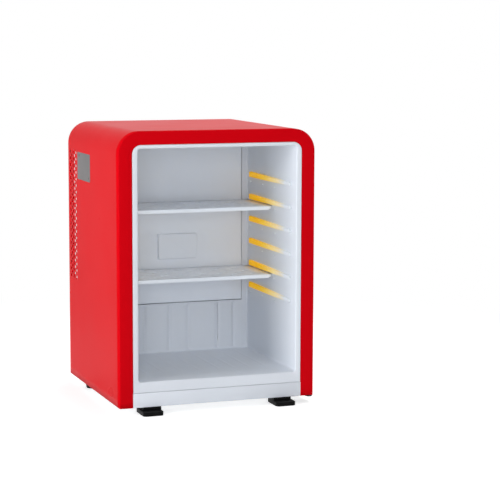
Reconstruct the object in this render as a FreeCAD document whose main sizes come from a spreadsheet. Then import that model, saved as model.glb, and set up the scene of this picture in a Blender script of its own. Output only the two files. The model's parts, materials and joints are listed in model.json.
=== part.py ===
import FreeCAD, Part
import math
import os
import re

import Sketcher
from FreeCAD import Placement, Rotation, Vector

# Minibar fridge cabinet: open front, two slide-out shelves, and an absorption
# cooling unit in the open bay at the rear.
# Lengths are millimetres. X runs to the right as seen from the front, Y to the rear, Z up.
# The origin is on the floor, under the middle of the outline.
# Sketch and part coordinates are the cabinet's own: Y from its front face, Z from its underside.

SIZES = {
    # Cabinet
    "case_width": 402.0,
    "case_height": 535.0,
    "case_depth": 382.0,
    "sheet_thickness": 1.0,
    "corner_radius": 44.0,
    "frame_leg_width": 26.8,
    "frame_top_width": 25.5,
    "frame_inner_radius": 18.0,
    "frame_lip_depth": 9.0,
    "rear_flange_width": 15.0,
    "cut_overrun": 5.0,
    # Side vents
    "vent_radius": 3.4,
    "vent_pitch_share": 0.02553,
    "vent_row_count": 20,
    "vent_column_pitch": 21.6,
    "vent_column_count": 3,
    "vent_low_share": 0.4006,
    "vent_rear_margin": 19.5,
    # Feet
    "foot_height": 15.0,
    "foot_jut": 18.0,
    "foot_side_margin": 43.0,
    "foot_plate_width": 41.0,
    "foot_plate_height": 7.0,
    "foot_block_inset": 4.0,
    "foot_block_depth": 34.0,
    "foot_corner_radius": 7.0,
    "foot_arch_height": 2.5,
    "foot_arch_margin": 8.0,
    "rear_foot_radius": 15.0,
    "rear_foot_tip_radius": 12.0,
    "rear_foot_side_margin": 22.0,
    "rear_foot_rear_margin": 97.0,
    # Plinth and base
    "plinth_height": 28.3,
    "plinth_wall": 2.0,
    "plinth_flange_depth": 10.0,
    "seam_gap": 0.5,
    "slot_width": 14.0,
    "slot_length_share": 0.6667,
    "slot_pitch_share": 0.0647,
    "slot_count": 8,
    # Inner liner
    "liner_wall": 2.0,
    "side_insulation": 40.0,
    "top_insulation": 34.8,
    "rear_insulation": 34.0,
    "interior_floor": 51.5,
    "liner_corner_radius": 4.0,
    "mouth_bevel": 3.2,
    "rib_width": 6.0,
    "rib_height": 1.5,
    "floor_groove_depth": 1.0,
    "floor_groove_share": 0.71,
    # Shelf rails on the liner's walls
    "rail_pitch_share": 0.1042,
    "rail_count": 6,
    "rail_low_share": 0.3245,
    "rail_height": 13.0,
    "rail_nose_height": 9.5,
    "rail_depth": 5.0,
    "rail_front_margin": 22.0,
    "rail_rear_margin": 30.0,
    "pip_size": 4.0,
    "pip_depth": 3.0,
    "pip_pitch_share": 0.304,
    "pip_column_count": 3,
    # Shelves
    "shelf_depth": 149.0,
    "shelf_rear_gap": 2.0,
    "shelf_side_gap": 0.8,
    "shelf_height": 6.2,
    "shelf_slot_play": 0.3,
    "shelf_plate": 2.4,
    "shelf_rim": 3.0,
    "shelf_corner_cut": 9.0,
    "shelf_hole_radius": 3.2,
    "shelf_hole_share": 0.2547,
    "shelf_hole_row_share": 0.322,
    "shelf_hole_columns": 7,
    "shelf_hole_rows": 3,
    "upper_shelf_rail": 5,
    "lower_shelf_rail": 2,
    # Evaporator and its cover
    "cover_side_margin": 15.0,
    "cover_low_share": 0.2374,
    "cover_proud": 11.0,
    "cover_wall": 2.0,
    "cover_radius": 3.0,
    "cover_slot_margin": 36.0,
    "lid_left": 38.0,
    "lid_right": 45.0,
    "lid_low_margin": 93.0,
    "lid_height": 52.0,
    "lid_proud": 3.5,
    "lid_bevel": 1.5,
    "throat_side_margin": 26.0,
    "throat_low_margin": 42.0,
    "throat_top_margin": 20.0,
    "fit_gap": 0.3,
    "evaporator_plate": 3.0,
    "evaporator_fin_depth": 13.0,
    "evaporator_fin_thickness": 1.6,
    "evaporator_fin_share": 0.125,
    "evaporator_fin_count": 15,
    "evaporator_margin": 5.0,
    "unit_plate_overlap": 10.0,
    # Cooling unit in the rear bay
    "bay_depth": 66.0,
    "boiler_rear_gap": 4.5,
    "boiler_height_share": 0.3925,
    "boiler_side_margin": 51.0,
    "boiler_riser": 7.0,
    "boiler_dome": 7.0,
    "strap_width": 18.0,
    "strap_top_gap": 10.0,
    "strap_lug": 12.0,
    "pipe_radius": 8.0,
    "pipe_bend": 22.0,
    "condenser_top_margin": 58.0,
    "condenser_side_margin": 35.0,
    "fin_rear_gap": 7.5,
    "fin_height": 46.0,
    "fin_thickness": 1.0,
    "fin_pitch_share": 0.0373,
    "fin_count": 12,
    "fin_play": 0.15,
    "gas_pipe_radius": 9.0,
    "gas_pipe_top_margin": 135.0,
    "gas_pipe_throat_margin": 24.0,
    "gas_pipe_side_margin": 39.0,
    "coil_pipe_radius": 6.5,
    "coil_bend_share": 0.03364,
    "coil_tilt": 45.0,
    "coil_half_turns": 7,
    "coil_rise": 65.0,
    "coil_cup_gap": 3.5,
    "coil_side_margin": 96.0,
    "coil_end_bend": 16.0,
    "vessel_rear_gap": 5.5,
    "vessel_height": 75.0,
    "vessel_left_share": 0.2985,
    "vessel_side_margin": 24.0,
    "vessel_dome": 9.0,
    "exchanger_radius": 8.5,
    "exchanger_drop": 9.0,
    "saddle_thickness": 2.0,
    "saddle_drop": 14.0,
    "saddle_rise": 4.0,
    "saddle_inset": 30.0,
    # Drain and cup
    "drain_radius": 5.0,
    "cup_boiler_gap": 11.0,
    "drain_rise": 12.0,
    "drain_bend": 8.0,
    "drain_drop": 16.0,
    "cup_width": 38.0,
    "cup_depth": 34.0,
    "cup_height": 26.0,
    "cup_wall": 1.6,
    "cup_drop": 42.0,
    # Control box
    "box_side_margin": 6.0,
    "box_width": 92.0,
    "box_rear_margin": 26.0,
    "box_height": 42.0,
    "box_front_gap": 8.0,
    "box_wall": 2.0,
    "box_cover": 2.0,
    "knob_radius": 13.0,
    "knob_depth": 9.0,
    "knob_grip_width": 5.0,
    "knob_grip_height": 3.0,
    "shaft_radius": 3.0,
    "knob_grip_share": 0.75,
    "knob_inset": 24.0,
    "inlet_width": 27.0,
    "inlet_height": 20.0,
    "inlet_depth": 16.0,
    "inlet_wall": 2.5,
    "inlet_inset": 24.0,
    "inlet_pin_width": 2.0,
    "inlet_pin_height": 4.5,
    "inlet_pin_pitch": 7.0,
    # Small plates and screws
    "plate_rear_margin": 77.0,
    "plate_length": 98.0,
    "plate_top_margin": 58.0,
    "plate_height": 56.0,
    "plate_thickness": 0.6,
    "hinge_plate_thickness": 3.0,
    "hinge_plate_length": 44.0,
    "hinge_plate_front": 12.0,
    "hinge_plate_rear": 32.0,
    "hinge_nose_width": 13.0,
    "hinge_nose_radius": 6.0,
    "screw_head_radius": 4.5,
    "screw_head_height": 2.5,
    "screw_shank_radius": 2.0,
    "screw_play": 0.2,
}

# Places and sizes worked out from the driving ones
DERIVED = {
    "front_y": "0 - (case_depth - foot_jut) / 2",
    "half_width": "case_width / 2",
    "inner_half": "half_width - sheet_thickness",
    "inner_top": "case_height - sheet_thickness",
    "bay_front": "case_depth - bay_depth",
    "bay_middle": "bay_front + (bay_depth - sheet_thickness) / 2",
    "foam_rear": "bay_front - sheet_thickness",
    "interior_half": "half_width - side_insulation",
    "interior_top": "case_height - top_insulation",
    "interior_rear": "bay_front - rear_insulation",
    "flange_half": "half_width - frame_leg_width - seam_gap",
    "flange_top": "case_height - frame_top_width - seam_gap",
    "flange_low": "plinth_height + seam_gap",
    "foam_front": "sheet_thickness + frame_lip_depth + seam_gap",
    "interior_height": "interior_top - interior_floor",
    "vent_row_pitch": "case_height * vent_pitch_share",
    "vent_low_height": "case_height * vent_low_share",
    "rear_foot_y": "case_depth - rear_foot_rear_margin",
    "slot_length": "bay_depth * slot_length_share",
    "slot_pitch": "case_width * slot_pitch_share",
    "floor_groove_length": "interior_rear * floor_groove_share",
    "cover_half_width": "interior_half - cover_side_margin",
    "cover_low_height": "interior_floor + interior_height * cover_low_share",
    "cover_slot_half_width": "cover_half_width - cover_slot_margin",
    "cover_front": "interior_rear - cover_proud",
    "lid_low_height": "cover_low_height + lid_low_margin",
    "throat_half_width": "cover_half_width - throat_side_margin",
    "throat_low_height": "cover_low_height + throat_low_margin",
    "throat_top": "interior_top - throat_top_margin",
    "evaporator_fin_pitch": "throat_half_width * evaporator_fin_share",
    "rail_pitch": "interior_height * rail_pitch_share",
    "rail_low": "interior_floor + interior_height * rail_low_share - rail_height",
    "rail_rear": "interior_rear - rail_rear_margin",
    "pip_pitch": "(rail_rear - rail_front_margin) * pip_pitch_share",
    "pip_front": "rail_rear - pip_pitch * (pip_column_count - 1)",
    "shelf_half": "interior_half - shelf_side_gap",
    "shelf_rear": "cover_front - shelf_rear_gap",
    "shelf_front": "shelf_rear - shelf_depth",
    "shelf_hole_pitch": "interior_half * shelf_hole_share",
    "shelf_hole_row_pitch": "shelf_depth * shelf_hole_row_share",
    "shelf_drop": "shelf_slot_play + shelf_height",
    "pip_top_drop": "shelf_drop + shelf_slot_play / 2",
    "bay_reach": "(bay_depth - sheet_thickness) / 2",
    "boiler_x": "boiler_side_margin - half_width",
    "boiler_radius": "bay_reach - boiler_rear_gap",
    "boiler_height": "case_height * boiler_height_share",
    "boiler_low_height": "exchanger_height + pipe_bend + boiler_riser",
    "boiler_top": "boiler_low_height + boiler_height",
    "strap_low_height": "throat_low_height - unit_plate_overlap - strap_top_gap - strap_width",
    "condenser_height": "case_height - condenser_top_margin",
    "condenser_reach": "throat_half_width - condenser_side_margin",
    "fin_width": "(bay_reach - fin_rear_gap) * 2",
    "fin_pitch": "case_width * fin_pitch_share",
    "gas_pipe_x": "half_width - gas_pipe_side_margin",
    "gas_pipe_start": "throat_half_width - gas_pipe_throat_margin",
    "gas_pipe_height": "case_height - gas_pipe_top_margin",
    "vessel_radius": "bay_reach - vessel_rear_gap",
    "vessel_left": "half_width * vessel_left_share",
    "vessel_right": "half_width - vessel_side_margin",
    "exchanger_height": "vessel_height - exchanger_drop",
    "drain_side": "half_width - boiler_side_margin - boiler_radius - cup_boiler_gap - cup_width / 2",
    "drain_height": "cover_low_height + drain_rise",
    "cup_low_height": "drain_height - cup_drop",
    "coil_bend": "case_height * coil_bend_share",
    "coil_left": "drain_side - cup_width / 2 - coil_cup_gap - coil_bend - coil_pipe_radius",
    "coil_right": "half_width - coil_side_margin",
    "coil_low_height": "vessel_height + coil_rise",
    "box_left": "box_side_margin - half_width",
    "box_front": "bay_front + box_front_gap",
    "box_depth": "bay_depth - box_rear_margin",
    "box_rear": "box_front + box_depth",
    "foot_outer": "half_width - foot_side_margin",
    "foot_inner": "foot_outer - foot_plate_width",
    "plate_front": "case_depth - plate_rear_margin - plate_length",
    "plate_low_height": "case_height - plate_top_margin - plate_height",
}

document = FreeCAD.newDocument("minibar_fridge")
sheet = document.addObject("Spreadsheet::Sheet", "Sizes")
for row, (alias, number) in enumerate(SIZES.items(), start=1):
    sheet.set(f"A{row}", alias)
    sheet.set(f"B{row}", str(number))
    sheet.setAlias(f"B{row}", alias)
document.recompute()

node_objects = {}


def bound(text):
    """An expression on the sheet's cells, from plain words for sizes and worked-out places."""

    def swap(word):
        name = word.group()
        if name in DERIVED:
            return "(" + bound(DERIVED[name]) + ")"
        return "Sizes." + name if name in SIZES else name

    return re.sub(r"[a-z][a-z_]*", swap, text)


def worth(text):
    """The number that such an expression has now."""
    return float(sheet.evalExpression(bound(text)))


def bind(thing, **properties):
    """Ties properties, whose names have a double underscore for each dot, to expressions."""
    for name, text in properties.items():
        thing.setExpression(name.replace("__", "."), bound(text))


def put_in_cabinet(thing):
    """Places a finished sub-part: its own coordinates start at the cabinet's front face and underside."""
    bind(thing, Placement__Base__y="front_y", Placement__Base__z="foot_height")


def new_body(label):
    """An empty body, named and placed as one sub-part."""
    body = document.addObject("PartDesign::Body", label)
    put_in_cabinet(body)
    node_objects[label] = body
    return body


def keep(label, thing):
    """Names and places a primitive or boolean as one sub-part."""
    thing.Label = label
    put_in_cabinet(thing)
    node_objects[label] = thing
    return thing


def new_sketch(body, plane, offset="0"):
    """A sketch on one of the body's own planes, moved along the plane's normal."""
    sketch = body.newObject("Sketcher::SketchObject", "sketch")
    support = next(each for each in body.Origin.OriginFeatures if each.Role == plane)
    sketch.AttachmentSupport = [(support, "")]
    sketch.MapMode = "FlatFace"
    bind(sketch, AttachmentOffset__Base__z=offset)
    return sketch


def pin_point(sketch, element, end, x, y):
    """Two bound distances that hold one point of a sketch."""
    for kind, text in (("DistanceX", x), ("DistanceY", y)):
        number = sketch.addConstraint(Sketcher.Constraint(kind, -1, 1, element, end, worth(text)))
        sketch.setExpression(f"Constraints[{number}]", bound(text))


def outline(sketch, corners):
    """A closed outline through corners (x, y) or (x, y, radius), rounded where a radius is given."""
    points = [Vector(worth(corner[0]), worth(corner[1]), 0) for corner in corners]
    radii = [worth(corner[2]) if len(corner) > 2 else 0 for corner in corners]
    count = len(corners)
    ways = [(points[(n + 1) % count] - points[n]).normalize() for n in range(count)]
    arrive, leave = [], []
    for n in range(count):
        back, ahead = ways[n - 1] * -1, ways[n]
        half_angle = back.getAngle(ahead) / 2
        inset = radii[n] / math.tan(half_angle) if radii[n] else 0
        arrive.append(points[n] + back * inset)
        leave.append(points[n] + ahead * inset)
    sides = []
    for n in range(count):
        ahead = (n + 1) % count
        sides.append(sketch.addGeometry(Part.LineSegment(leave[n], arrive[ahead]), False))
    for n in range(count):
        before, after = sides[n - 1], sides[n]
        x, y = corners[n][:2]
        if not radii[n]:
            sketch.addConstraint(Sketcher.Constraint("Coincident", before, 2, after, 1))
            pin_point(sketch, after, 1, x, y)
            continue
        turn = (ways[n - 1].cross(ways[n])).z
        inward = (ways[n] - ways[n - 1]).normalize()
        half_angle = (ways[n - 1] * -1).getAngle(ways[n]) / 2
        centre = points[n] + inward * (radii[n] / math.sin(half_angle))
        first, last = (arrive[n], leave[n]) if turn > 0 else (leave[n], arrive[n])
        angles = [math.atan2((each - centre).y, (each - centre).x) for each in (first, last)]
        circle = Part.Circle(centre, Vector(0, 0, 1), radii[n])
        bend = sketch.addGeometry(Part.ArcOfCircle(circle, angles[0], angles[1]), False)
        into, out = (1, 2) if turn > 0 else (2, 1)
        sketch.addConstraint(Sketcher.Constraint("Tangent", before, 2, bend, into))
        sketch.addConstraint(Sketcher.Constraint("Tangent", after, 1, bend, out))
        number = sketch.addConstraint(Sketcher.Constraint("Radius", bend, radii[n]))
        sketch.setExpression(f"Constraints[{number}]", bound(corners[n][2]))
        corner = sketch.addGeometry(Part.Point(points[n]), True)
        sketch.addConstraint(Sketcher.Constraint("PointOnObject", corner, 1, before))
        sketch.addConstraint(Sketcher.Constraint("PointOnObject", corner, 1, after))
        pin_point(sketch, corner, 1, x, y)


def rectangle(sketch, left, right, low, high, radius=None):
    """An upright rectangle between two bound sides and two bound levels."""
    tail = (radius,) if radius else ()
    outline(sketch, [(left, low) + tail, (right, low) + tail, (right, high) + tail, (left, high) + tail])


# What is round in the real object has flat sides here: drums and knob, tubes, small holes
DRUM_SIDES, TUBE_SIDES, HOLE_SIDES, SHELF_HOLE_SIDES = 16, 8, 6, 4


def polygon(sketch, radius, sides, x="0", y="0"):
    """A regular outline round a bound centre, every corner bound."""
    corners = []
    for step in range(sides):
        turn = 360 / sides * step
        corners.append((f"{x} + {radius} * cos({turn})", f"{y} + {radius} * sin({turn})"))
    outline(sketch, corners)


def faces_forward(sketch):
    """Whether a sketch's plane has its normal to the front, so that growing to the rear is against it."""
    return sketch.AttachmentSupport[0][0].Role == "XZ_Plane"


def pad(body, sketch, length):
    """Adds a sketch's outline as a solid that grows to the rear, to the right or up."""
    feature = body.newObject("PartDesign::Pad", "pad")
    feature.Profile = sketch
    feature.Reversed = faces_forward(sketch)
    bind(feature, Length=length)
    document.recompute()
    return feature


def pocket(body, sketch, length=None):
    """Removes a sketch's outline to the rear, the right or up by a bound depth, or right through."""
    before = body.Shape.Volume
    feature = body.newObject("PartDesign::Pocket", "pocket")
    feature.Profile = sketch
    if length is None:
        feature.Type = "ThroughAll"
        feature.SideType = "Symmetric"
    else:
        feature.Reversed = not faces_forward(sketch)
        bind(feature, Length=length)
    document.recompute()
    if not body.Shape.Volume < before:
        raise RuntimeError(f"{body.Label}: a pocket cut nothing")
    return feature


def row_of(body, sketch, axis, pitch, count):
    """A row of copies along a sketch's axis, at a bound pitch."""
    row = body.newObject("PartDesign::LinearPattern", "row")
    row.Direction = (sketch, [axis])
    row.Mode = "Spacing"
    bind(row, Offset=pitch, Occurrences=count)
    return row


def repeat(body, features, sketch, *rows):
    """Copies of features in one row, or in rows of rows, each an axis, a pitch and a count."""
    if len(rows) == 1:
        feature = row_of(body, sketch, *rows[0])
        feature.Originals = features
    else:
        feature = body.newObject("PartDesign::MultiTransform", "grid")
        feature.Originals = features
        feature.Transformations = [row_of(body, sketch, *each) for each in rows]
    body.Tip = feature
    document.recompute()
    return feature


def bevel_edges(body, size, chosen):
    """Bevels the edges of the body so far for which chosen, given an edge's middle and direction, is true."""
    base = body.Tip
    names = []
    for number, edge in enumerate(base.Shape.Edges, start=1):
        ends = [vertex.Point for vertex in edge.Vertexes]
        if chosen((ends[0] + ends[1]) * (1 / 2), (ends[1] - ends[0]).normalize()):
            names.append(f"Edge{number}")
    if not names:
        raise RuntimeError(f"{body.Label}: no edge to bevel")
    feature = body.newObject("PartDesign::Chamfer", "bevel")
    feature.Base = (base, names)
    bind(feature, Size=size)
    body.Tip = feature
    document.recompute()
    return feature


def block(left, right, front, rear, low, high):
    """A bound box between six faces."""
    made = document.addObject("Part::Box", "block")
    bind(made, Length=f"({right}) - ({left})", Width=f"({rear}) - ({front})", Height=f"({high}) - ({low})")
    bind(made, Placement__Base__x=left, Placement__Base__y=front, Placement__Base__z=low)
    return made


TURNS = {
    "X": Rotation(Vector(0, 0, 1), Vector(1, 0, 0)),
    "Y": Rotation(Vector(0, 0, 1), Vector(0, 1, 0)),
    "Z": Rotation(),
}


def rod(axis, x, y, z, radius, length):
    """A bound many-sided drum that starts at a point and runs along an axis."""
    made = document.addObject("Part::Prism", "rod")
    made.Polygon = DRUM_SIDES
    made.Placement = Placement(Vector(), TURNS[axis])
    bind(made, Circumradius=radius, Height=length)
    bind(made, Placement__Base__x=x, Placement__Base__y=y, Placement__Base__z=z)
    return made


def without(base, *tools):
    """One shape less others."""
    made = base
    for tool in tools:
        cut = document.addObject("Part::Cut", "cut")
        cut.Base = made
        cut.Tool = tool
        made = cut
    return made


def together(*shapes):
    """Several shapes as one."""
    made = document.addObject("Part::MultiFuse", "union")
    made.Shapes = list(shapes)
    made.Refine = True
    return made


def coded(label, shape):
    """A sub-part whose shape is worked out here."""
    made = document.addObject("Part::Feature", label)
    made.Shape = shape
    return keep(label, made)


LEFT, RIGHT = Vector(-1, 0, 0), Vector(1, 0, 0)
FORWARD, REARWARD = Vector(0, -1, 0), Vector(0, 1, 0)
DOWN, UP = Vector(0, 0, -1), Vector(0, 0, 1)
BEND_STEP = 22.5
VOLUME_SHARE = 0.001


def pipe(path, radius, sides=TUBE_SIDES):
    """A many-sided tube's solid along a path of points, mitred at each of them."""
    ways = [(after - before).normalize() for before, after in zip(path, path[1:])]
    aside = ways[0].cross(UP) if abs(ways[0].z) < 1 / 2 else ways[0].cross(REARWARD)
    aside.normalize()
    above = aside.cross(ways[0])
    corners = []
    for step in range(sides):
        swing = 2 * math.pi / sides * step
        corners.append(path[0] + aside * (radius * math.cos(swing)) + above * (radius * math.sin(swing)))
    rings = [corners]
    for number, way in enumerate(ways):
        place = path[number + 1]
        normal = way + ways[min(number + 1, len(ways) - 1)]
        corners = [each + way * ((place - each).dot(normal) / way.dot(normal)) for each in corners]
        rings.append(corners)
    faces = [Part.Face(Part.makePolygon(ends + ends[:1])) for ends in (rings[0], rings[-1])]
    for before, after in zip(rings, rings[1:]):
        for side in range(sides):
            quad = [before[side - 1], before[side], after[side], after[side - 1], before[side - 1]]
            faces.append(Part.Face(Part.makePolygon(quad)))
    solid = Part.makeSolid(Part.makeShell(faces))
    length = sum((after - before).Length for before, after in zip(path, path[1:]))
    section = sides / 2 * radius**2 * math.sin(2 * math.pi / sides)
    if abs(abs(solid.Volume) - section * length) > section * length * VOLUME_SHARE:
        raise RuntimeError("a tube's volume differs from its section times its length")
    return solid if solid.Volume > 0 else solid.reversed()


def bend(path, heading, towards, radius, angle=90):
    """Adds an arc to a path from its last point, as chords: it turns by an angle from a heading to a side."""
    centre = path[-1] + towards * radius
    steps = round(angle / BEND_STEP)
    for step in range(1, steps + 1):
        swing = math.radians(angle) * step / steps
        path.append(centre - towards * (radius * math.cos(swing)) + heading * (radius * math.sin(swing)))


def least_gap(path, radius, apart):
    """The least gap between a tube's stretches that are further apart along it than a given length."""
    points = []
    for before, after in zip(path, path[1:]):
        steps = max(1, round((after - before).Length / radius))
        points += [before + (after - before) * (step / steps) for step in range(steps)]
    points.append(path[-1])
    travelled = [0]
    for before, after in zip(points, points[1:]):
        travelled.append(travelled[-1] + (after - before).Length)
    least = math.inf
    for number, point in enumerate(points):
        for other in range(number):
            if travelled[number] - travelled[other] > apart:
                least = min(least, (point - points[other]).Length)
    return least - 2 * radius


def arch(half, top, radius, inner_half, inner_top, inner_radius):
    """The corners of an upside-down U with rounded outer and inner corners, open at the bottom."""
    return [
        (f"0 - ({half})", "0"),
        (f"0 - ({inner_half})", "0"),
        (f"0 - ({inner_half})", inner_top, inner_radius),
        (inner_half, inner_top, inner_radius),
        (inner_half, "0"),
        (half, "0"),
        (half, top, radius),
        (f"0 - ({half})", top, radius),
    ]


def make_outer_wrap():
    """Painted sheet over both sides and the top, with a return flange at the rear and perforated sides."""
    body = new_body("outer_wrap")
    shell = new_sketch(body, "XZ_Plane", "0 - sheet_thickness")
    outline(shell, arch("half_width", "case_height", "corner_radius",
                        "inner_half", "inner_top", "corner_radius - sheet_thickness"))
    pad(body, shell, "case_depth - sheet_thickness")
    flange = new_sketch(body, "XZ_Plane", "sheet_thickness - case_depth")
    outline(flange, arch("half_width", "case_height", "corner_radius",
                         "half_width - rear_flange_width", "case_height - rear_flange_width",
                         "corner_radius - rear_flange_width"))
    pad(body, flange, "sheet_thickness")
    rear = "case_depth - vent_rear_margin"
    even = new_sketch(body, "YZ_Plane")
    front = f"{rear} - vent_column_pitch * (vent_column_count - 1)"
    polygon(even, "vent_radius", HOLE_SIDES, front, "vent_low_height")
    hole = pocket(body, even)
    repeat(body, [hole], even, ("V_Axis", "vent_row_pitch", "vent_row_count"),
           ("H_Axis", "vent_column_pitch", "vent_column_count"))
    odd = new_sketch(body, "YZ_Plane")
    polygon(odd, "vent_radius", HOLE_SIDES, f"{front} + vent_column_pitch / 2",
            "vent_low_height + vent_row_pitch / 2")
    hole = pocket(body, odd)
    repeat(body, [hole], odd, ("V_Axis", "vent_row_pitch", "vent_row_count - 1"),
           ("H_Axis", "vent_column_pitch", "vent_column_count - 1"))


def make_front_frame():
    """Painted front frame: two legs and a top bar, and a lip turned in round the liner."""
    body = new_body("front_frame")
    face = new_sketch(body, "XZ_Plane")
    edge_half, edge_top = "half_width - frame_leg_width", "case_height - frame_top_width"
    outline(face, arch("half_width", "case_height", "corner_radius",
                       edge_half, edge_top, "frame_inner_radius"))
    pad(body, face, "sheet_thickness")
    lip = new_sketch(body, "XZ_Plane", "0 - sheet_thickness")
    outline(lip, arch(f"{edge_half} + sheet_thickness", f"{edge_top} + sheet_thickness",
                      "frame_inner_radius + sheet_thickness", edge_half, edge_top, "frame_inner_radius"))
    pad(body, lip, "frame_lip_depth")


def tub_section(body, wall, depth="0"):
    """The liner's tub in section, at a depth: its cavity with no wall, or its outside with one."""
    section = new_sketch(body, "XZ_Plane", f"0 - ({depth})")
    half = f"interior_half + ({wall})"
    rectangle(section, f"0 - ({half})", half, f"interior_floor - ({wall})", f"interior_top + ({wall})",
              f"liner_corner_radius + ({wall})")
    return section


# Ribs on the liner's rear wall and grooves in its floor, as shares of the interior's half width
RIB_SHARES = (-0.78, -0.43, -0.09, 0.17, 0.57, 0.85)
GROOVE_SHARES = (-0.78, -0.55, -0.32, -0.09, 0.17, 0.37, 0.57, 0.78)


def make_inner_liner():
    """Moulded liner: flange with bevelled mouth, tub, ribs, floor grooves and a pip row per rail."""
    body = new_body("inner_liner")
    pad(body, tub_section(body, "liner_wall"), "interior_rear + liner_wall")
    flange = new_sketch(body, "XZ_Plane")
    outline(flange, [
        ("0 - flange_half", "flange_low"),
        ("flange_half", "flange_low"),
        ("flange_half", "flange_top", "frame_inner_radius - seam_gap"),
        ("0 - flange_half", "flange_top", "frame_inner_radius - seam_gap"),
    ])
    pad(body, flange, "liner_wall")
    pocket(body, tub_section(body, "0"), "interior_rear")
    mouth = body.newObject("PartDesign::SubtractiveLoft", "mouth")
    mouth.Profile = tub_section(body, "mouth_bevel")
    mouth.Sections = [tub_section(body, "0", "mouth_bevel")]
    mouth.Ruled = True
    document.recompute()
    throat = new_sketch(body, "XZ_Plane", "0 - interior_rear")
    rectangle(throat, "0 - throat_half_width", "throat_half_width", "throat_low_height", "throat_top")
    pocket(body, throat, "liner_wall + cut_overrun")
    drain = new_sketch(body, "XZ_Plane", "0 - interior_rear")
    polygon(drain, "drain_radius", TUBE_SIDES, "0 - drain_side", "drain_height")
    pocket(body, drain, "liner_wall + cut_overrun")
    ribs = new_sketch(body, "XZ_Plane", "rib_height - interior_rear")
    for share in RIB_SHARES:
        rib_middle = f"interior_half * ({share})"
        rectangle(ribs, f"{rib_middle} - rib_width / 2", f"{rib_middle} + rib_width / 2",
                  "interior_floor", "cover_low_height - rib_width")
    pad(body, ribs, "rib_height")
    grooves = new_sketch(body, "XY_Plane", "interior_floor - floor_groove_depth")
    for share in GROOVE_SHARES:
        groove_middle = f"interior_half * ({share})"
        rectangle(grooves, f"{groove_middle} - rib_width / 2", f"{groove_middle} + rib_width / 2",
                  "interior_rear - floor_groove_length - rib_width * 2", "interior_rear - rib_width * 2")
    pocket(body, grooves, "floor_groove_depth")
    pip = new_sketch(body, "YZ_Plane", "interior_half - pip_depth")
    pip_top = "rail_low - pip_top_drop"
    rectangle(pip, "pip_front - pip_size / 2", "pip_front + pip_size / 2",
              f"{pip_top} - pip_size", pip_top)
    bump = pad(body, pip, "pip_depth")
    other = new_sketch(body, "YZ_Plane", "0 - interior_half")
    rectangle(other, "pip_front - pip_size / 2", "pip_front + pip_size / 2",
              f"{pip_top} - pip_size", pip_top)
    other_bump = pad(body, other, "pip_depth")
    repeat(body, [bump, other_bump], pip, ("V_Axis", "rail_pitch", "rail_count"),
           ("H_Axis", "pip_pitch", "pip_column_count"))


def make_foam():
    """Insulation that fills the space between the liner, the wrap and the back plate."""
    body = new_body("foam_insulation")
    outer = new_sketch(body, "XZ_Plane", "0 - foam_front")
    outline(outer, [
        ("0 - inner_half", "sheet_thickness"),
        ("inner_half", "sheet_thickness"),
        ("inner_half", "inner_top", "corner_radius - sheet_thickness"),
        ("0 - inner_half", "inner_top", "corner_radius - sheet_thickness"),
    ])
    pad(body, outer, "foam_rear - foam_front")
    pocket(body, tub_section(body, "liner_wall", "foam_front"), "interior_rear + liner_wall - foam_front")
    throat = new_sketch(body, "XZ_Plane", "0 - interior_rear")
    rectangle(throat, "0 - throat_half_width", "throat_half_width", "throat_low_height", "throat_top")
    polygon(throat, "drain_radius", TUBE_SIDES, "0 - drain_side", "drain_height")
    pocket(body, throat, "rear_insulation")


def make_back_plate():
    """Galvanised sheet behind the insulation, open where the evaporator and the drain pass."""
    body = new_body("back_plate")
    sketch = new_sketch(body, "XZ_Plane", "0 - foam_rear")
    outline(sketch, [
        ("0 - inner_half", "sheet_thickness"),
        ("inner_half", "sheet_thickness"),
        ("inner_half", "inner_top", "corner_radius - sheet_thickness"),
        ("0 - inner_half", "inner_top", "corner_radius - sheet_thickness"),
    ])
    rectangle(sketch, "0 - throat_half_width", "throat_half_width", "throat_low_height", "throat_top")
    polygon(sketch, "drain_radius", TUBE_SIDES, "0 - drain_side", "drain_height")
    for x, level in screw_places():
        polygon(sketch, "(screw_shank_radius + screw_play)", HOLE_SIDES, x, level)
    pad(body, sketch, "sheet_thickness")


def make_base_plate():
    """Galvanised floor of the cabinet, with slots that let air into the rear bay."""
    body = new_body("base_plate")
    sheet_outline = new_sketch(body, "XY_Plane")
    rectangle(sheet_outline, "0 - inner_half", "inner_half", "plinth_flange_depth",
              "case_depth - sheet_thickness")
    pad(body, sheet_outline, "sheet_thickness")
    slot = new_sketch(body, "XY_Plane")
    slot_front = "bay_middle - slot_length / 2"
    slot_right = "vessel_right - slot_pitch * (slot_count - 1)"
    rectangle(slot, f"{slot_right} - slot_width", slot_right, slot_front, f"{slot_front} + slot_length")
    hole = pocket(body, slot)
    repeat(body, [hole], slot, ("H_Axis", "slot_pitch", "slot_count"))


def make_plinth():
    """Pale moulded strip below the liner: a front wall with a flange turned back at its top and bottom."""
    body = new_body("plinth")
    section = new_sketch(body, "YZ_Plane")
    outline(section, [
        ("0", "0"),
        ("plinth_flange_depth", "0"),
        ("plinth_flange_depth", "plinth_wall"),
        ("plinth_wall", "plinth_wall"),
        ("plinth_wall", "plinth_height - plinth_wall"),
        ("plinth_flange_depth", "plinth_height - plinth_wall"),
        ("plinth_flange_depth", "plinth_height"),
        ("0", "plinth_height"),
    ])
    feature = pad(body, section, "(half_width - frame_leg_width) * 2")
    feature.SideType = "Symmetric"
    document.recompute()


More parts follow.
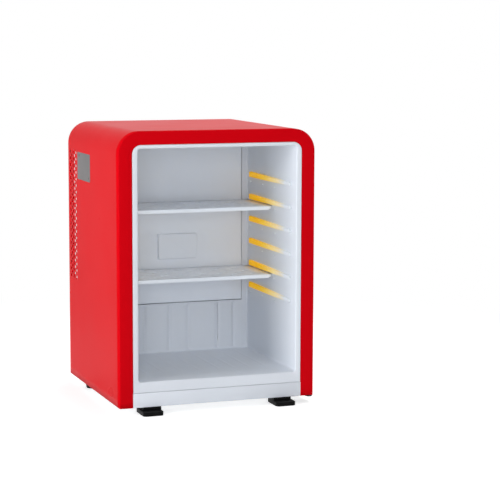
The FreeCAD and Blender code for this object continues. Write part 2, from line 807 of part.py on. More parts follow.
def make_front_foot(label, side):
    """Black moulded foot: a block under the cabinet on a plate that juts out in front and is arched below."""
    body = new_body(label)

    def span(inner, outer):
        return (inner, outer) if side > 0 else (f"0 - ({outer})", f"0 - ({inner})")

    left, right = span("foot_inner", "foot_outer")
    base = new_sketch(body, "XY_Plane", "0 - foot_height")
    outline(base, [
        (left, "0 - foot_jut", "foot_corner_radius"),
        (right, "0 - foot_jut", "foot_corner_radius"),
        (right, "foot_block_depth"),
        (left, "foot_block_depth"),
    ])
    pad(body, base, "foot_plate_height")
    left, right = span("foot_inner", "foot_outer - foot_block_inset")
    upper = new_sketch(body, "XY_Plane", "foot_plate_height - foot_height")
    rectangle(upper, left, right, "0", "foot_block_depth")
    pad(body, upper, "foot_height - foot_plate_height")
    left, right = span("foot_inner + foot_arch_margin", "foot_outer - foot_arch_margin")
    hollow = new_sketch(body, "XY_Plane", "0 - foot_height")
    rectangle(hollow, left, right, "0 - foot_jut - cut_overrun", "foot_block_depth - foot_arch_margin")
    pocket(body, hollow, "foot_arch_height")


def make_rear_feet():
    """Two round tapered feet at the rear."""
    feet = []
    for side in (-1, 1):
        x, y = f"(half_width - rear_foot_side_margin) * {side}", "rear_foot_y"
        ends = []
        for radius, level in (("rear_foot_tip_radius", "0 - foot_height"), ("rear_foot_radius", "0")):
            end = document.addObject("Part::RegularPolygon", "end")
            end.Polygon = DRUM_SIDES
            bind(end, Circumradius=radius)
            bind(end, Placement__Base__x=x, Placement__Base__y=y, Placement__Base__z=level)
            ends.append(end)
        taper = document.addObject("Part::Loft", "taper")
        taper.Sections = ends
        taper.Solid = True
        taper.Ruled = True
        feet.append(taper)
    group = document.addObject("Part::Compound", "group")
    group.Links = feet
    keep("rear_feet", group)


def make_rails():
    """Six coloured rails on each wall, deeper at the rear than at the nose."""
    for side, word in ((-1, "left"), (1, "right")):
        for number in range(int(SIZES["rail_count"])):
            body = new_body(f"{word}_rail_{number + 1}")
            wall = "interior_half - rail_depth" if side > 0 else "0 - interior_half"
            profile = new_sketch(body, "YZ_Plane", wall)
            low = f"rail_low + rail_pitch * {number}"
            outline(profile, [
                ("rail_front_margin", low),
                ("rail_rear", low),
                ("rail_rear", f"{low} + rail_height"),
                ("rail_front_margin + rail_nose_height / 2", f"{low} + rail_nose_height"),
                ("rail_front_margin", f"{low} + rail_nose_height / 2"),
            ])
            pad(body, profile, "rail_depth")


def make_shelf(label, rail):
    """Perforated moulded shelf: a thin plate with a rim all round, its front corners cut."""
    body = new_body(label)
    top = f"rail_low + rail_pitch * ({rail} - 1) - shelf_slot_play"
    outer = new_sketch(body, "XY_Plane", f"{top} - shelf_height")
    outline(outer, [
        ("shelf_corner_cut - shelf_half", "shelf_front"),
        ("shelf_half - shelf_corner_cut", "shelf_front"),
        ("shelf_half", "shelf_front + shelf_corner_cut"),
        ("shelf_half", "shelf_rear"),
        ("0 - shelf_half", "shelf_rear"),
        ("0 - shelf_half", "shelf_front + shelf_corner_cut"),
    ])
    pad(body, outer, "shelf_height")
    for side in (-1, 1):
        hollow = new_sketch(body, "XY_Plane", f"{top} - shelf_height")
        ends = ["shelf_rim / 2", "shelf_half - shelf_rim"]
        if side < 0:
            ends = [f"0 - ({each})" for each in reversed(ends)]
        rectangle(hollow, ends[0], ends[1], "shelf_front + shelf_corner_cut + shelf_rim",
                  "shelf_rear - shelf_rim")
        pocket(body, hollow, "shelf_height - shelf_plate")
    left = "0 - shelf_hole_pitch * (shelf_hole_columns - 1) / 2"
    first_row = "shelf_front + shelf_corner_cut + shelf_rim + shelf_hole_row_pitch / 4"
    holes = new_sketch(body, "XY_Plane", top)
    polygon(holes, "shelf_hole_radius", SHELF_HOLE_SIDES, left, first_row)
    hole = pocket(body, holes)
    repeat(body, [hole], holes, ("H_Axis", "shelf_hole_pitch", "shelf_hole_columns"),
           ("V_Axis", "shelf_hole_row_pitch", "shelf_hole_rows"))
    between = new_sketch(body, "XY_Plane", top)
    polygon(between, "shelf_hole_radius", SHELF_HOLE_SIDES, f"{left} + shelf_hole_pitch / 2",
            f"{first_row} + shelf_hole_row_pitch / 2")
    hole = pocket(body, between)
    repeat(body, [hole], between, ("H_Axis", "shelf_hole_pitch", "shelf_hole_columns - 1"),
           ("V_Axis", "shelf_hole_row_pitch", "shelf_hole_rows - 1"))


def make_evaporator_cover():
    """Moulded panel over the evaporator, open at the back and slotted along its underside."""
    body = new_body("evaporator_cover")
    low, high = "cover_low_height", "interior_top - fit_gap"
    outer = new_sketch(body, "XZ_Plane", "0 - cover_front")
    rectangle(outer, "0 - cover_half_width", "cover_half_width", low, high, "cover_radius")
    pad(body, outer, "cover_proud")
    inside = new_sketch(body, "XZ_Plane", "0 - cover_front - cover_wall")
    rectangle(inside, "cover_wall - cover_half_width", "cover_half_width - cover_wall",
              f"{low} + cover_wall", f"{high} - cover_wall")
    pocket(body, inside, "cover_proud")
    slot = new_sketch(body, "XY_Plane", f"{low} - cut_overrun")
    rectangle(slot, "0 - cover_slot_half_width", "cover_slot_half_width",
              "cover_front + cover_wall", "interior_rear - cover_wall")
    pocket(body, slot, "cut_overrun + cover_wall * 2")


def make_access_lid():
    """Raised lid on the evaporator cover."""
    body = new_body("access_lid")
    sketch = new_sketch(body, "XZ_Plane", "lid_proud - cover_front")
    rectangle(sketch, "0 - lid_left", "lid_right", "lid_low_height", "lid_low_height + lid_height")
    pad(body, sketch, "lid_proud")
    front = worth("cover_front - lid_proud")
    bevel_edges(body, "lid_bevel", lambda middle, way: abs(middle.y - front) < worth("lid_bevel"))


def make_evaporator():
    """Finned aluminium plate behind the cover, and the insulating plug that carries it in the throat."""
    body = new_body("evaporator_plug")
    plug_front = "interior_rear + evaporator_fin_depth + evaporator_plate"
    left, right = "fit_gap - throat_half_width", "throat_half_width - fit_gap"
    low, high = "throat_low_height + fit_gap", "throat_top - fit_gap"
    block_sketch = new_sketch(body, "XZ_Plane", f"0 - ({plug_front})")
    rectangle(block_sketch, left, right, low, high)
    pad(body, block_sketch, f"bay_front - ({plug_front})")
    body = new_body("evaporator_fins")
    plate = new_sketch(body, "XZ_Plane", "0 - interior_rear - evaporator_fin_depth")
    rectangle(plate, f"{left} + evaporator_margin", f"{right} - evaporator_margin",
              f"{low} + evaporator_margin", f"{high} - evaporator_margin")
    pad(body, plate, "evaporator_plate")
    fin = new_sketch(body, "XZ_Plane", "0 - interior_rear")
    fin_left = "0 - evaporator_fin_pitch * (evaporator_fin_count - 1) / 2 - evaporator_fin_thickness / 2"
    rectangle(fin, fin_left, f"{fin_left} + evaporator_fin_thickness",
              f"{low} + evaporator_margin", f"{high} - evaporator_margin")
    blade = pad(body, fin, "evaporator_fin_depth")
    repeat(body, [blade], fin, ("H_Axis", "evaporator_fin_pitch", "evaporator_fin_count"))


def make_unit_plate():
    """Plate that closes the throat and carries the cooling unit's pipes."""
    body = new_body("unit_plate")
    sketch = new_sketch(body, "XZ_Plane", "0 - bay_front")
    rectangle(sketch, "0 - throat_half_width - unit_plate_overlap", "throat_half_width + unit_plate_overlap",
              "throat_low_height - unit_plate_overlap", "throat_top + unit_plate_overlap")
    for x, level in screw_places():
        polygon(sketch, "(screw_shank_radius + screw_play)", HOLE_SIDES, x, level)
    pad(body, sketch, "sheet_thickness")


def make_boiler():
    """Boiler: an insulated can with a dished top, and the strap that holds it to the back plate."""
    body = new_body("boiler_can")
    section = new_sketch(body, "XY_Plane", "boiler_low_height")
    polygon(section, "boiler_radius", DRUM_SIDES)
    pad(body, section, "boiler_height")
    top = worth("boiler_top")
    bevel_edges(body, "boiler_dome", lambda middle, way: abs(middle.z - top) < worth("boiler_dome"))
    bind(body, Placement__Base__x="boiler_x", Placement__Base__y="front_y + bay_middle")
    document.recompute()
    low, high = "strap_low_height", "strap_low_height + strap_width"
    inner, outer = "boiler_radius + fit_gap", "boiler_radius + fit_gap + sheet_thickness"
    loop = without(
        together(
            rod("Z", "boiler_x", "bay_middle", low, outer, "strap_width"),
            block(f"boiler_x - ({outer})", f"boiler_x + {outer}", "bay_front", "bay_middle", low, high),
        ),
        rod("Z", "boiler_x", "bay_middle", f"{low} - cut_overrun", inner, "strap_width + cut_overrun * 2"),
        block(f"boiler_x - ({inner})", f"boiler_x + {inner}", "bay_front - cut_overrun", "bay_middle",
              f"{low} - cut_overrun", f"{high} + cut_overrun"),
    )
    lugs = [block(f"boiler_x + {outer}", f"boiler_x + {outer} + strap_lug", "bay_front",
                  "bay_front + sheet_thickness", low, high),
            block(f"boiler_x - ({outer}) - strap_lug", f"boiler_x - ({outer})", "bay_front",
                  "bay_front + sheet_thickness", low, high)]
    keep("boiler_strap", together(loop, *lugs))


def make_condenser():
    """Pipe that rises from the boiler and crosses the bay to the evaporator, with its square cooling fins."""
    middle, high, turn = worth("bay_middle"), worth("condenser_height"), worth("pipe_bend")
    path = [Vector(worth("boiler_x"), middle, worth("boiler_top")),
            Vector(worth("boiler_x"), middle, high - turn)]
    bend(path, UP, RIGHT, turn)
    path.append(Vector(worth("condenser_reach"), middle, high))
    bend(path, RIGHT, FORWARD, turn)
    path.append(Vector(path[-1].x, worth("bay_front + sheet_thickness"), high))
    coded("condenser_pipe", pipe(path, worth("pipe_radius")))
    fins = []
    for number in range(int(SIZES["fin_count"])):
        place = f"condenser_reach - fin_thickness - fin_pitch * {number}"
        fins.append(block(place, f"{place} + fin_thickness", "bay_middle - fin_width / 2",
                          "bay_middle + fin_width / 2", "condenser_height - fin_height / 2",
                          "condenser_height + fin_height / 2"))
    stack = document.addObject("Part::Compound", "stack")
    stack.Links = fins
    bore = document.addObject("Part::Feature", "bore")
    begin = Vector(worth("condenser_reach - fin_pitch * fin_count"), middle, high)
    end = Vector(worth("condenser_reach"), middle, high)
    bore.Shape = pipe([begin, end], worth("pipe_radius + fin_play"))
    keep("condenser_fins", without(stack, bore))


def make_gas_pipe():
    """Wide return pipe from the evaporator down to the absorber vessel."""
    middle, high, turn = worth("bay_middle"), worth("gas_pipe_height"), worth("pipe_bend")
    path = [Vector(worth("gas_pipe_start"), worth("bay_front + sheet_thickness"), high),
            Vector(worth("gas_pipe_start"), middle - turn, high)]
    bend(path, REARWARD, RIGHT, turn)
    path.append(Vector(worth("gas_pipe_x") - turn, middle, high))
    bend(path, RIGHT, DOWN, turn)
    path.append(Vector(path[-1].x, middle, worth("vessel_height")))
    coded("gas_return_pipe", pipe(path, worth("gas_pipe_radius")).cut(vessel_core()))


def vessel_core():
    """The absorber vessel's plain drum, which the pipes on it are trimmed to."""
    ends = [Vector(worth(x), worth("bay_middle"), worth("vessel_height"))
            for x in ("0 - vessel_left", "vessel_right")]
    return pipe(ends, worth("vessel_radius"), DRUM_SIDES)


def make_absorber_coil():
    """Absorber coil: one tube in flattened turns, made only of level runs and tilted half-circles.

    A half-circle of radius r, tilted by an angle, carries the tube from one row of runs to the other,
    2 r cos(angle) away, and climbs 2 r sin(angle), so that every join is tangent.
    """
    radius, tilt, turn = worth("coil_bend"), math.radians(worth("coil_tilt")), worth("coil_end_bend")
    front_row = worth("bay_middle") - radius * math.cos(tilt)
    left, right = worth("0 - coil_left"), worth("coil_right")
    path = [Vector(right, front_row, worth("vessel_height")),
            Vector(right, front_row, worth("coil_low_height") - turn)]
    bend(path, UP, LEFT, turn)
    for number in range(int(SIZES["coil_half_turns"])):
        goes_left = number % 2 == 0
        path.append(Vector(left if goes_left else right, path[-1].y, path[-1].z))
        to_other_row = math.cos(tilt) if goes_left else -math.cos(tilt)
        bend(path, LEFT if goes_left else RIGHT, Vector(0, to_other_row, math.sin(tilt)), radius, 180)
    path.append(Vector(right, path[-1].y, path[-1].z))
    bend(path, RIGHT, FORWARD, turn)
    path.append(Vector(path[-1].x, worth("bay_front + sheet_thickness"), path[-1].z))
    tube_radius = worth("coil_pipe_radius")
    gap = least_gap(path, tube_radius, math.pi * radius)
    print(f"absorber coil: least gap between its turns {gap:.1f} mm")
    coded("absorber_coil", pipe(path, tube_radius).cut(vessel_core()))


def make_vessel():
    """Absorber vessel: a level drum with dished ends, carried by two saddles on the back plate."""
    body = new_body("absorber_vessel")
    section = new_sketch(body, "YZ_Plane", "0 - vessel_left - vessel_dome")
    polygon(section, "vessel_radius", DRUM_SIDES)
    pad(body, section, "vessel_left + vessel_right + vessel_dome * 2")
    bevel_edges(body, "vessel_dome", lambda middle, way: abs(way.x) < 1 / 2)
    bind(body, Placement__Base__y="front_y + bay_middle", Placement__Base__z="foot_height + vessel_height")
    document.recompute()
    saddles = []
    low, high = "vessel_height - vessel_radius - saddle_drop", "vessel_height + saddle_rise"
    for place in ("saddle_inset - vessel_left", "vessel_right - saddle_inset - saddle_thickness"):
        web = block(place, f"{place} + saddle_thickness", "bay_front",
                    "bay_middle + vessel_radius / 2", low, high)
        foot = block(place, f"{place} + saddle_drop", "bay_front",
                     "bay_front + saddle_thickness", low, high)
        seat = rod("X", f"{place} - cut_overrun", "bay_middle", "vessel_height", "vessel_radius + fit_gap",
                   "saddle_drop + cut_overrun * 2")
        saddles.append(without(together(web, foot), seat))
    group = document.addObject("Part::Compound", "group")
    group.Links = saddles
    keep("vessel_saddles", group)


def make_heat_exchanger():
    """Liquid heat exchanger: the thick tube from the vessel to the underside of the boiler."""
    middle, low, turn = worth("bay_middle"), worth("exchanger_height"), worth("pipe_bend")
    path = [Vector(worth("0 - vessel_left - vessel_dome"), middle, low),
            Vector(worth("boiler_x") + turn, middle, low)]
    bend(path, LEFT, UP, turn)
    path.append(Vector(path[-1].x, middle, worth("boiler_low_height")))
    coded("liquid_heat_exchanger", pipe(path, worth("exchanger_radius")))


def make_drain():
    """Drain tube from behind the evaporator cover through the insulation, and the cup that it drips into."""
    turn = worth("drain_bend")
    path = [Vector(worth("0 - drain_side"), worth("interior_rear"), worth("drain_height")),
            Vector(worth("0 - drain_side"), worth("bay_front + cup_depth / 2") - turn, worth("drain_height"))]
    bend(path, REARWARD, DOWN, turn)
    path.append(path[-1] + DOWN * (worth("drain_drop") - turn))
    coded("drain_tube", pipe(path, worth("drain_radius - fit_gap")))
    body = new_body("drip_cup")
    left, right = "0 - drain_side - cup_width / 2", "cup_width / 2 - drain_side"
    outer = new_sketch(body, "XY_Plane", "cup_low_height")
    rectangle(outer, left, right, "bay_front", "bay_front + cup_depth")
    pad(body, outer, "cup_height")
    hollow = new_sketch(body, "XY_Plane", "cup_low_height + cup_wall")
    rectangle(hollow, f"{left} + cup_wall", f"{right} - cup_wall", "bay_front + cup_wall",
              "bay_front + cup_depth - cup_wall")
    pocket(body, hollow, "cup_height")


def make_control_box():
    """Control box on the cabinet's floor: an open case, its cover, the thermostat's knob and the inlet."""
    right = "box_left + box_width"
    low, high = "sheet_thickness", "sheet_thickness + box_height"
    box = without(
        block("box_left", right, "box_front", "box_rear", low, high),
        block("box_left + box_wall", f"{right} - box_wall", "box_front + box_wall", "box_rear + cut_overrun",
              f"{low} + box_wall", f"{high} - box_wall"),
    )
    keep("control_box", box)
    knob_x, inlet_x = f"{right} - knob_inset", "box_left + inlet_inset"
    axis_height = "sheet_thickness + box_height / 2"
    cover = without(
        block("box_left", right, "box_rear", "box_rear + box_cover", low, high),
        rod("Y", knob_x, "box_rear - cut_overrun", axis_height, "shaft_radius + fit_gap",
            "box_cover + cut_overrun * 2"),
        block(f"{inlet_x} - inlet_width / 2", f"{inlet_x} + inlet_width / 2", "box_rear - cut_overrun",
              "box_rear + box_cover + cut_overrun", f"{axis_height} - inlet_height / 2",
              f"{axis_height} + inlet_height / 2"),
    )
    keep("control_cover", cover)
    body = new_body("thermostat_knob")
    dial = new_sketch(body, "XZ_Plane", "0 - box_cover - fit_gap")
    polygon(dial, "knob_radius", DRUM_SIDES)
    pad(body, dial, "knob_depth")
    shaft = new_sketch(body, "XZ_Plane", "box_wall")
    polygon(shaft, "shaft_radius", TUBE_SIDES)
    pad(body, shaft, "box_wall + box_cover + fit_gap")
    grip = new_sketch(body, "XZ_Plane", "0 - box_cover - fit_gap - knob_depth")
    rectangle(grip, "0 - knob_grip_width / 2", "knob_grip_width / 2", "0 - knob_radius * knob_grip_share",
              "knob_radius * knob_grip_share")
    pad(body, grip, "knob_grip_height")
    bind(body, Placement__Base__x=knob_x, Placement__Base__y="front_y + box_rear",
         Placement__Base__z=f"foot_height + {axis_height}")
    document.recompute()
    inlet_left, inlet_right = f"{inlet_x} - inlet_width / 2", f"{inlet_x} + inlet_width / 2"
    inlet_low = f"{axis_height} - inlet_height / 2"
    inlet_high = f"{axis_height} + inlet_height / 2"
    shell = without(
        block(inlet_left, inlet_right, "box_rear + box_cover - inlet_depth", "box_rear + box_cover",
              inlet_low, inlet_high),
        block(f"{inlet_left} + inlet_wall", f"{inlet_right} - inlet_wall",
              "box_rear + box_cover - inlet_depth + inlet_wall", "box_rear + box_cover + cut_overrun",
              f"{inlet_low} + inlet_wall", f"{inlet_high} - inlet_wall"),
    )
    pins = []
    for place in (-1, 0, 1):
        pin_left = f"{inlet_x} + inlet_pin_pitch * ({place}) - inlet_pin_width / 2"
        pins.append(block(pin_left, f"{pin_left} + inlet_pin_width",
                          "box_rear + box_cover - inlet_depth", "box_rear + box_cover - inlet_wall",
                          f"{axis_height} - inlet_pin_height / 2", f"{axis_height} + inlet_pin_height / 2"))
    keep("power_inlet", together(shell, *pins))


def make_rating_plate():
    """Bare metal plate on the left side."""
    body = new_body("rating_plate")
    sketch = new_sketch(body, "YZ_Plane", "0 - half_width - plate_thickness")
    rectangle(sketch, "plate_front", "plate_front + plate_length", "plate_low_height",
              "plate_low_height + plate_height")
    pad(body, sketch, "plate_thickness")


def make_hinge_plate():
    """Lower hinge plate under the right leg, with a round nose at the cabinet's corner."""
    body = new_body("lower_hinge_plate")
    sketch = new_sketch(body, "XY_Plane", "0 - hinge_plate_thickness")
    outline(sketch, [
        ("half_width - hinge_nose_width", "0", "hinge_nose_radius"),
        ("half_width", "0", "hinge_nose_radius"),
        ("half_width", "hinge_plate_rear"),
        ("half_width - hinge_plate_length", "hinge_plate_rear"),
        ("half_width - hinge_plate_length", "hinge_plate_front"),
        ("half_width - hinge_nose_width", "hinge_plate_front"),
    ])
    pad(body, sketch, "hinge_plate_thickness")


def screw_places():
    """Where the screws go through the unit plate's overlap: its four corners."""
    across = "throat_half_width + unit_plate_overlap / 2"
    for level in ("throat_low_height - unit_plate_overlap / 2", "throat_top + unit_plate_overlap / 2"):
        for x in (f"0 - ({across})", across):
            yield x, level


def make_screws():
    """Hexagon-headed screws that hold the unit plate to the back plate, as one group."""
    screws = []
    for x, level in screw_places():
        ends = [Vector(worth(x), worth(y), worth(level))
                for y in ("foam_rear", "bay_front + sheet_thickness",
                          "bay_front + sheet_thickness + screw_head_height")]
        shank = pipe(ends[:2], worth("screw_shank_radius"), HOLE_SIDES)
        head = pipe(ends[1:], worth("screw_head_radius"), HOLE_SIDES)
        screws.append(shank.fuse(head))
    coded("unit_screws", Part.makeCompound(screws))


MAKERS = [
    make_outer_wrap,
    make_front_frame,
    make_inner_liner,
    make_foam,
    make_back_plate,
    make_base_plate,
    make_plinth,
    make_rear_feet,
    make_rails,
    make_evaporator_cover,
    make_access_lid,
    make_evaporator,
    make_unit_plate,
    make_boiler,
    make_condenser,
    make_gas_pipe,
    make_absorber_coil,
    make_vessel,
    make_heat_exchanger,
    make_drain,
    make_control_box,
    make_rating_plate,
    make_hinge_plate,
    make_screws,
]


def main():
    """Builds every sub-part, checks it and writes its file."""
    for make in MAKERS:
        make()
    make_front_foot("left_front_foot", -1)
    make_front_foot("right_front_foot", 1)
    make_shelf("upper_shelf", "upper_shelf_rail")
    make_shelf("lower_shelf", "lower_shelf_rail")
    document.recompute()
    for thing in document.Objects:
        if "Invalid" in thing.State or "Error" in thing.State:
            raise RuntimeError(f"{thing.Label} failed: {thing.State}")
    os.makedirs("parts", exist_ok=True)
    for label, thing in node_objects.items():
        shape = thing.Shape
        if shape.isNull() or not shape.isValid():
            raise RuntimeError(f"{label} has no valid shape")
        shape.exportStep(f"parts/{label}.step")
    print(len(node_objects), "sub-parts written")


main()
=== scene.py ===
# %% [markdown]
# A hotel minibar fridge with an open front, red sheet sides and a pale moulded inside, dressed for its
# photograph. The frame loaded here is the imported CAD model. Its parts stay where they are, and every new
# surface is worked out in the same place, so nothing has to be fitted afterwards.

# %% Load the frame
import json
import math

import bmesh
import bpy
import numpy as np
from mathutils import Matrix, Vector


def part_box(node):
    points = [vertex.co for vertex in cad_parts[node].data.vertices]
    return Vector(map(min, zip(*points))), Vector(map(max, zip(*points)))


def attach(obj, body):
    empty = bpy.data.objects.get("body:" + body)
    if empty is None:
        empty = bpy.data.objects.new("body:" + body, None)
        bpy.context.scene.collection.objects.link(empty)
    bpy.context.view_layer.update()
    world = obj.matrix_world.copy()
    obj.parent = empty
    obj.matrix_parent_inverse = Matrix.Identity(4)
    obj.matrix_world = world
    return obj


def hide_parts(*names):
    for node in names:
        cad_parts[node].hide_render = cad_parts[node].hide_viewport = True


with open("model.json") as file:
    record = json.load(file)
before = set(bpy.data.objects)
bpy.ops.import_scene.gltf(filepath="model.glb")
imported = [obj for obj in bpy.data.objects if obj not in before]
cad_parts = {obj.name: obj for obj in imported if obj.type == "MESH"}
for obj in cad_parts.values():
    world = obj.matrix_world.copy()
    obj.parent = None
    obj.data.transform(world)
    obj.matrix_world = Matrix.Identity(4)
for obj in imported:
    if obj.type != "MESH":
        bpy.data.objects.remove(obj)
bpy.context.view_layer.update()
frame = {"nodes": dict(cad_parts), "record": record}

# %% [markdown]
# The pieces are described the way a maker's drawing would: in millimetres, X to the right, Y back from the
# cabinet's front face, Z up from its underside. Two shifts, read from the frame, turn that into the frame's
# own metres.

# %% Read the main sizes from the frame
MM = 0.001
FRONT_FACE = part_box("front_frame")[0][1] / MM
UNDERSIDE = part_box("outer_wrap")[0][2] / MM
SHIFT = np.array([0.0, FRONT_FACE, UNDERSIDE])


def span(node):
    """Lowest and highest corner of a node in the cabinet's own millimetres."""
    low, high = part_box(node)
    return np.array(low) / MM - SHIFT, np.array(high) / MM - SHIFT


def middle(node):
    """The middle of a node's box."""
    low, high = span(node)
    return (low + high) / 2


HALF_WIDTH, CASE_DEPTH, CASE_HEIGHT = span("outer_wrap")[1]
SHEET = 1.0
ROOF_THICKNESS, INTERIOR_FLOOR = 34.8, 51.5
INTERIOR_TOP = CASE_HEIGHT - ROOF_THICKNESS
INTERIOR_HALF = span("right_rail_1")[1][0]
INTERIOR_REAR = span("evaporator_cover")[1][1]
BAY_FRONT = span("back_plate")[1][1]
BAY_MIDDLE = (BAY_FRONT + CASE_DEPTH - SHEET) / 2
print("case:", HALF_WIDTH * 2, CASE_DEPTH, CASE_HEIGHT, "interior depth:", INTERIOR_REAR)

# %% [markdown]
# The photograph was taken from the left and a little above, through a long lens. The camera's place, its
# turn to the right, its dip and its slight roll come from fitting the cabinet's straight edges.

# %% Set up the camera
PHOTO_WIDTH = 500
SENSOR_WIDTH = 36.0
FOCAL_PIXELS = 1731.6
FARTHEST_SEEN = 100
CAMERA_PLACE = (-1104.8, -3338.4, 746.7)
CAMERA_TURN, CAMERA_DIP, CAMERA_ROLL = -20.342, -7.326, 0.192


def add_camera():
    """A camera that looks along +Y, rolled, dipped and then turned."""
    camera = bpy.data.objects.new("camera", bpy.data.cameras.new("camera"))
    camera.data.sensor_width = SENSOR_WIDTH
    camera.data.lens = FOCAL_PIXELS / PHOTO_WIDTH * SENSOR_WIDTH
    camera.data.clip_end = FARTHEST_SEEN
    turn = Matrix.Rotation(math.radians(CAMERA_TURN), 4, "Z")
    dip = Matrix.Rotation(math.radians(90 + CAMERA_DIP), 4, "X")
    roll = Matrix.Rotation(math.radians(CAMERA_ROLL), 4, "Z")
    camera.matrix_world = Matrix.Translation(Vector(CAMERA_PLACE) * MM) @ turn @ dip @ roll
    bpy.context.collection.objects.link(camera)
    bpy.context.scene.camera = camera
    bpy.context.scene.view_settings.view_transform = "Standard"
    return camera


camera = add_camera()
print("lens:", round(camera.data.lens, 1), "mm")

# %% [markdown]
# A shader is a tree of nodes. By hand, each node is made, then set, then wired up. One small function does
# all three here, so an effect reads as a few lines, each of which names what feeds it.

# %% A tool for shader nodes
MIX_FACTOR, MIX_FIRST, MIX_SECOND, MIX_RESULT = 0, 6, 7, 2


def add_node(tree, kind, inputs=None, **settings):
    """A shader node; inputs gives a socket, by name or number, a plain value or another node's output."""
    node = tree.nodes.new("ShaderNode" + kind)
    for name, value in settings.items():
        setattr(node, name, value)
    for name, value in (inputs or {}).items():
        if isinstance(value, bpy.types.NodeSocket):
            tree.links.new(value, node.inputs[name])
        else:
            node.inputs[name].default_value = value
    return node


def add_math(tree, operation, first, second):
    """The result of a Math node on two numbers or outputs."""
    return add_node(tree, "Math", {0: first, 1: second}, operation=operation).outputs[0]


def add_range(tree, value, low, high, to_low=0.0, to_high=1.0):
    """A value carried from one range to another; each end is a number or an output."""
    ends = {"Value": value, "From Min": low, "From Max": high, "To Min": to_low, "To Max": to_high}
    return add_node(tree, "MapRange", ends).outputs["Result"]


def add_mix(tree, factor, first, second):
    """Two colours mixed by a factor. A Mix node has sockets for every data type, so they go by number."""
    inputs = {MIX_FACTOR: factor, MIX_FIRST: first, MIX_SECOND: second}
    return add_node(tree, "Mix", inputs, data_type="RGBA").outputs[MIX_RESULT]


# %% [markdown]
# The studio is white. A floor could be made bright with more light, but that would wash out the cabinet, so
# the floor and the world show plain white to the camera and to mirrors, and the floor keeps only the
# cabinet's soft shadow. A broad lamp on the left makes the left side the brightest, as in the photograph.
# The two lamps near the cabinet's own height are kept out of reflections, because seen from the far side
# the gloss paint on top would show them as white patches.

# %% Build the studio
WHITE = (1, 1, 1, 1)
WORLD_TINT = (0.94, 0.97, 1.0, 1)
WORLD_STRENGTH = 0.13
FLOOR_RADIUS, FLOOR_SIDES = 20.0, 64
FLOOR_COLOUR, FLOOR_ROUGHNESS = (0.76, 0.76, 0.76, 1), 0.7
FLOOR_LIFT = 0.62
SHADOW_REACH = (0.45, 1.3)
LAMP_TARGET = Vector((0, 0, 0.3))


def add_background_ray(tree):
    """A number that is 1 for rays from the camera, from a mirror or through glass, and 0 for light."""
    rays = add_node(tree, "LightPath").outputs
    seen = add_math(tree, "MAXIMUM", rays["Is Camera Ray"], rays["Is Glossy Ray"])
    return add_math(tree, "MAXIMUM", seen, rays["Is Transmission Ray"])


def add_world():
    """World light at a plain level, and white where it is seen."""
    world = bpy.data.worlds.new("studio")
    world.use_nodes = True
    tree = world.node_tree
    tree.nodes.clear()
    light = add_node(tree, "Background", {"Color": WORLD_TINT, "Strength": WORLD_STRENGTH})
    seen = add_node(tree, "Background", {"Color": WHITE})
    mix = add_node(tree, "MixShader", {0: add_background_ray(tree), 1: light.outputs[0], 2: seen.outputs[0]})
    add_node(tree, "OutputWorld", {0: mix.outputs[0]})
    bpy.context.scene.world = world


def add_floor():
    """A wide disc: pale and shaded near the cabinet, plain white to the camera further away."""
    angle = np.linspace(0, 2 * np.pi, FLOOR_SIDES, endpoint=False)
    points = np.stack([FLOOR_RADIUS * np.cos(angle), FLOOR_RADIUS * np.sin(angle), 0 * angle], axis=1)
    mesh = bpy.data.meshes.new("floor")
    mesh.from_pydata(points.tolist(), [], [list(range(FLOOR_SIDES))])
    floor = bpy.data.objects.new("floor", mesh)
    bpy.context.collection.objects.link(floor)
    material = bpy.data.materials.new("floor_white")
    material.use_nodes = True
    tree = material.node_tree
    shaded = tree.nodes["Principled BSDF"]
    shaded.inputs["Base Color"].default_value = FLOOR_COLOUR
    shaded.inputs["Roughness"].default_value = FLOOR_ROUGHNESS
    ray = add_background_ray(tree)
    lift = add_node(tree, "Emission", {"Strength": add_math(tree, "MULTIPLY", FLOOR_LIFT, ray)})
    near = add_node(tree, "AddShader", {0: shaded.outputs[0], 1: lift.outputs[0]})
    place = add_node(tree, "TexCoord").outputs["Object"]
    away = add_node(tree, "VectorMath", {0: place}, operation="LENGTH").outputs["Value"]
    near_end, far_end = SHADOW_REACH
    fade = add_node(tree, "MapRange", {"Value": away, "From Min": near_end, "From Max": far_end},
                    interpolation_type="SMOOTHSTEP")
    white = add_math(tree, "MULTIPLY", fade.outputs["Result"], ray)
    far = add_node(tree, "Emission")
    mix = add_node(tree, "MixShader", {0: white, 1: near.outputs[0], 2: far.outputs[0]})
    tree.links.new(mix.outputs[0], tree.nodes["Material Output"].inputs["Surface"])
    mesh.materials.append(material)


def add_lamp(name, place, size, watts, mirrored=True):
    """A soft square lamp that faces the cabinet; without mirrored, gloss surfaces don't reflect it."""
    light = bpy.data.lights.new(name, "AREA")
    light.size = size
    light.energy = watts
    lamp = bpy.data.objects.new(name, light)
    lamp.visible_glossy = mirrored
    lamp.location = place
    lamp.rotation_euler = (LAMP_TARGET - Vector(place)).to_track_quat("-Z", "Y").to_euler()
    bpy.context.collection.objects.link(lamp)


add_world()
add_floor()
add_lamp("left_key", (-2.5, -0.65, 0.6), 1.3, 51, mirrored=False)
add_lamp("top_soft", (0.9, 0.5, 3.0), 2.0, 64)
add_lamp("front_fill", (-0.9, -3.4, 0.55), 1.6, 34.5, mirrored=False)
add_lamp("front_high", (-0.3, -1.9, 1.9), 1.2, 11)

# %% [markdown]
# A finish on a real thing is never one flat colour. Sheet, paint and moulded plastic all vary a little in
# tone, carry a fine surface texture, and pick up dust where they face up. These three effects are wanted in
# nearly every material, so each is a node group that is built once, and a material sets its own amounts.

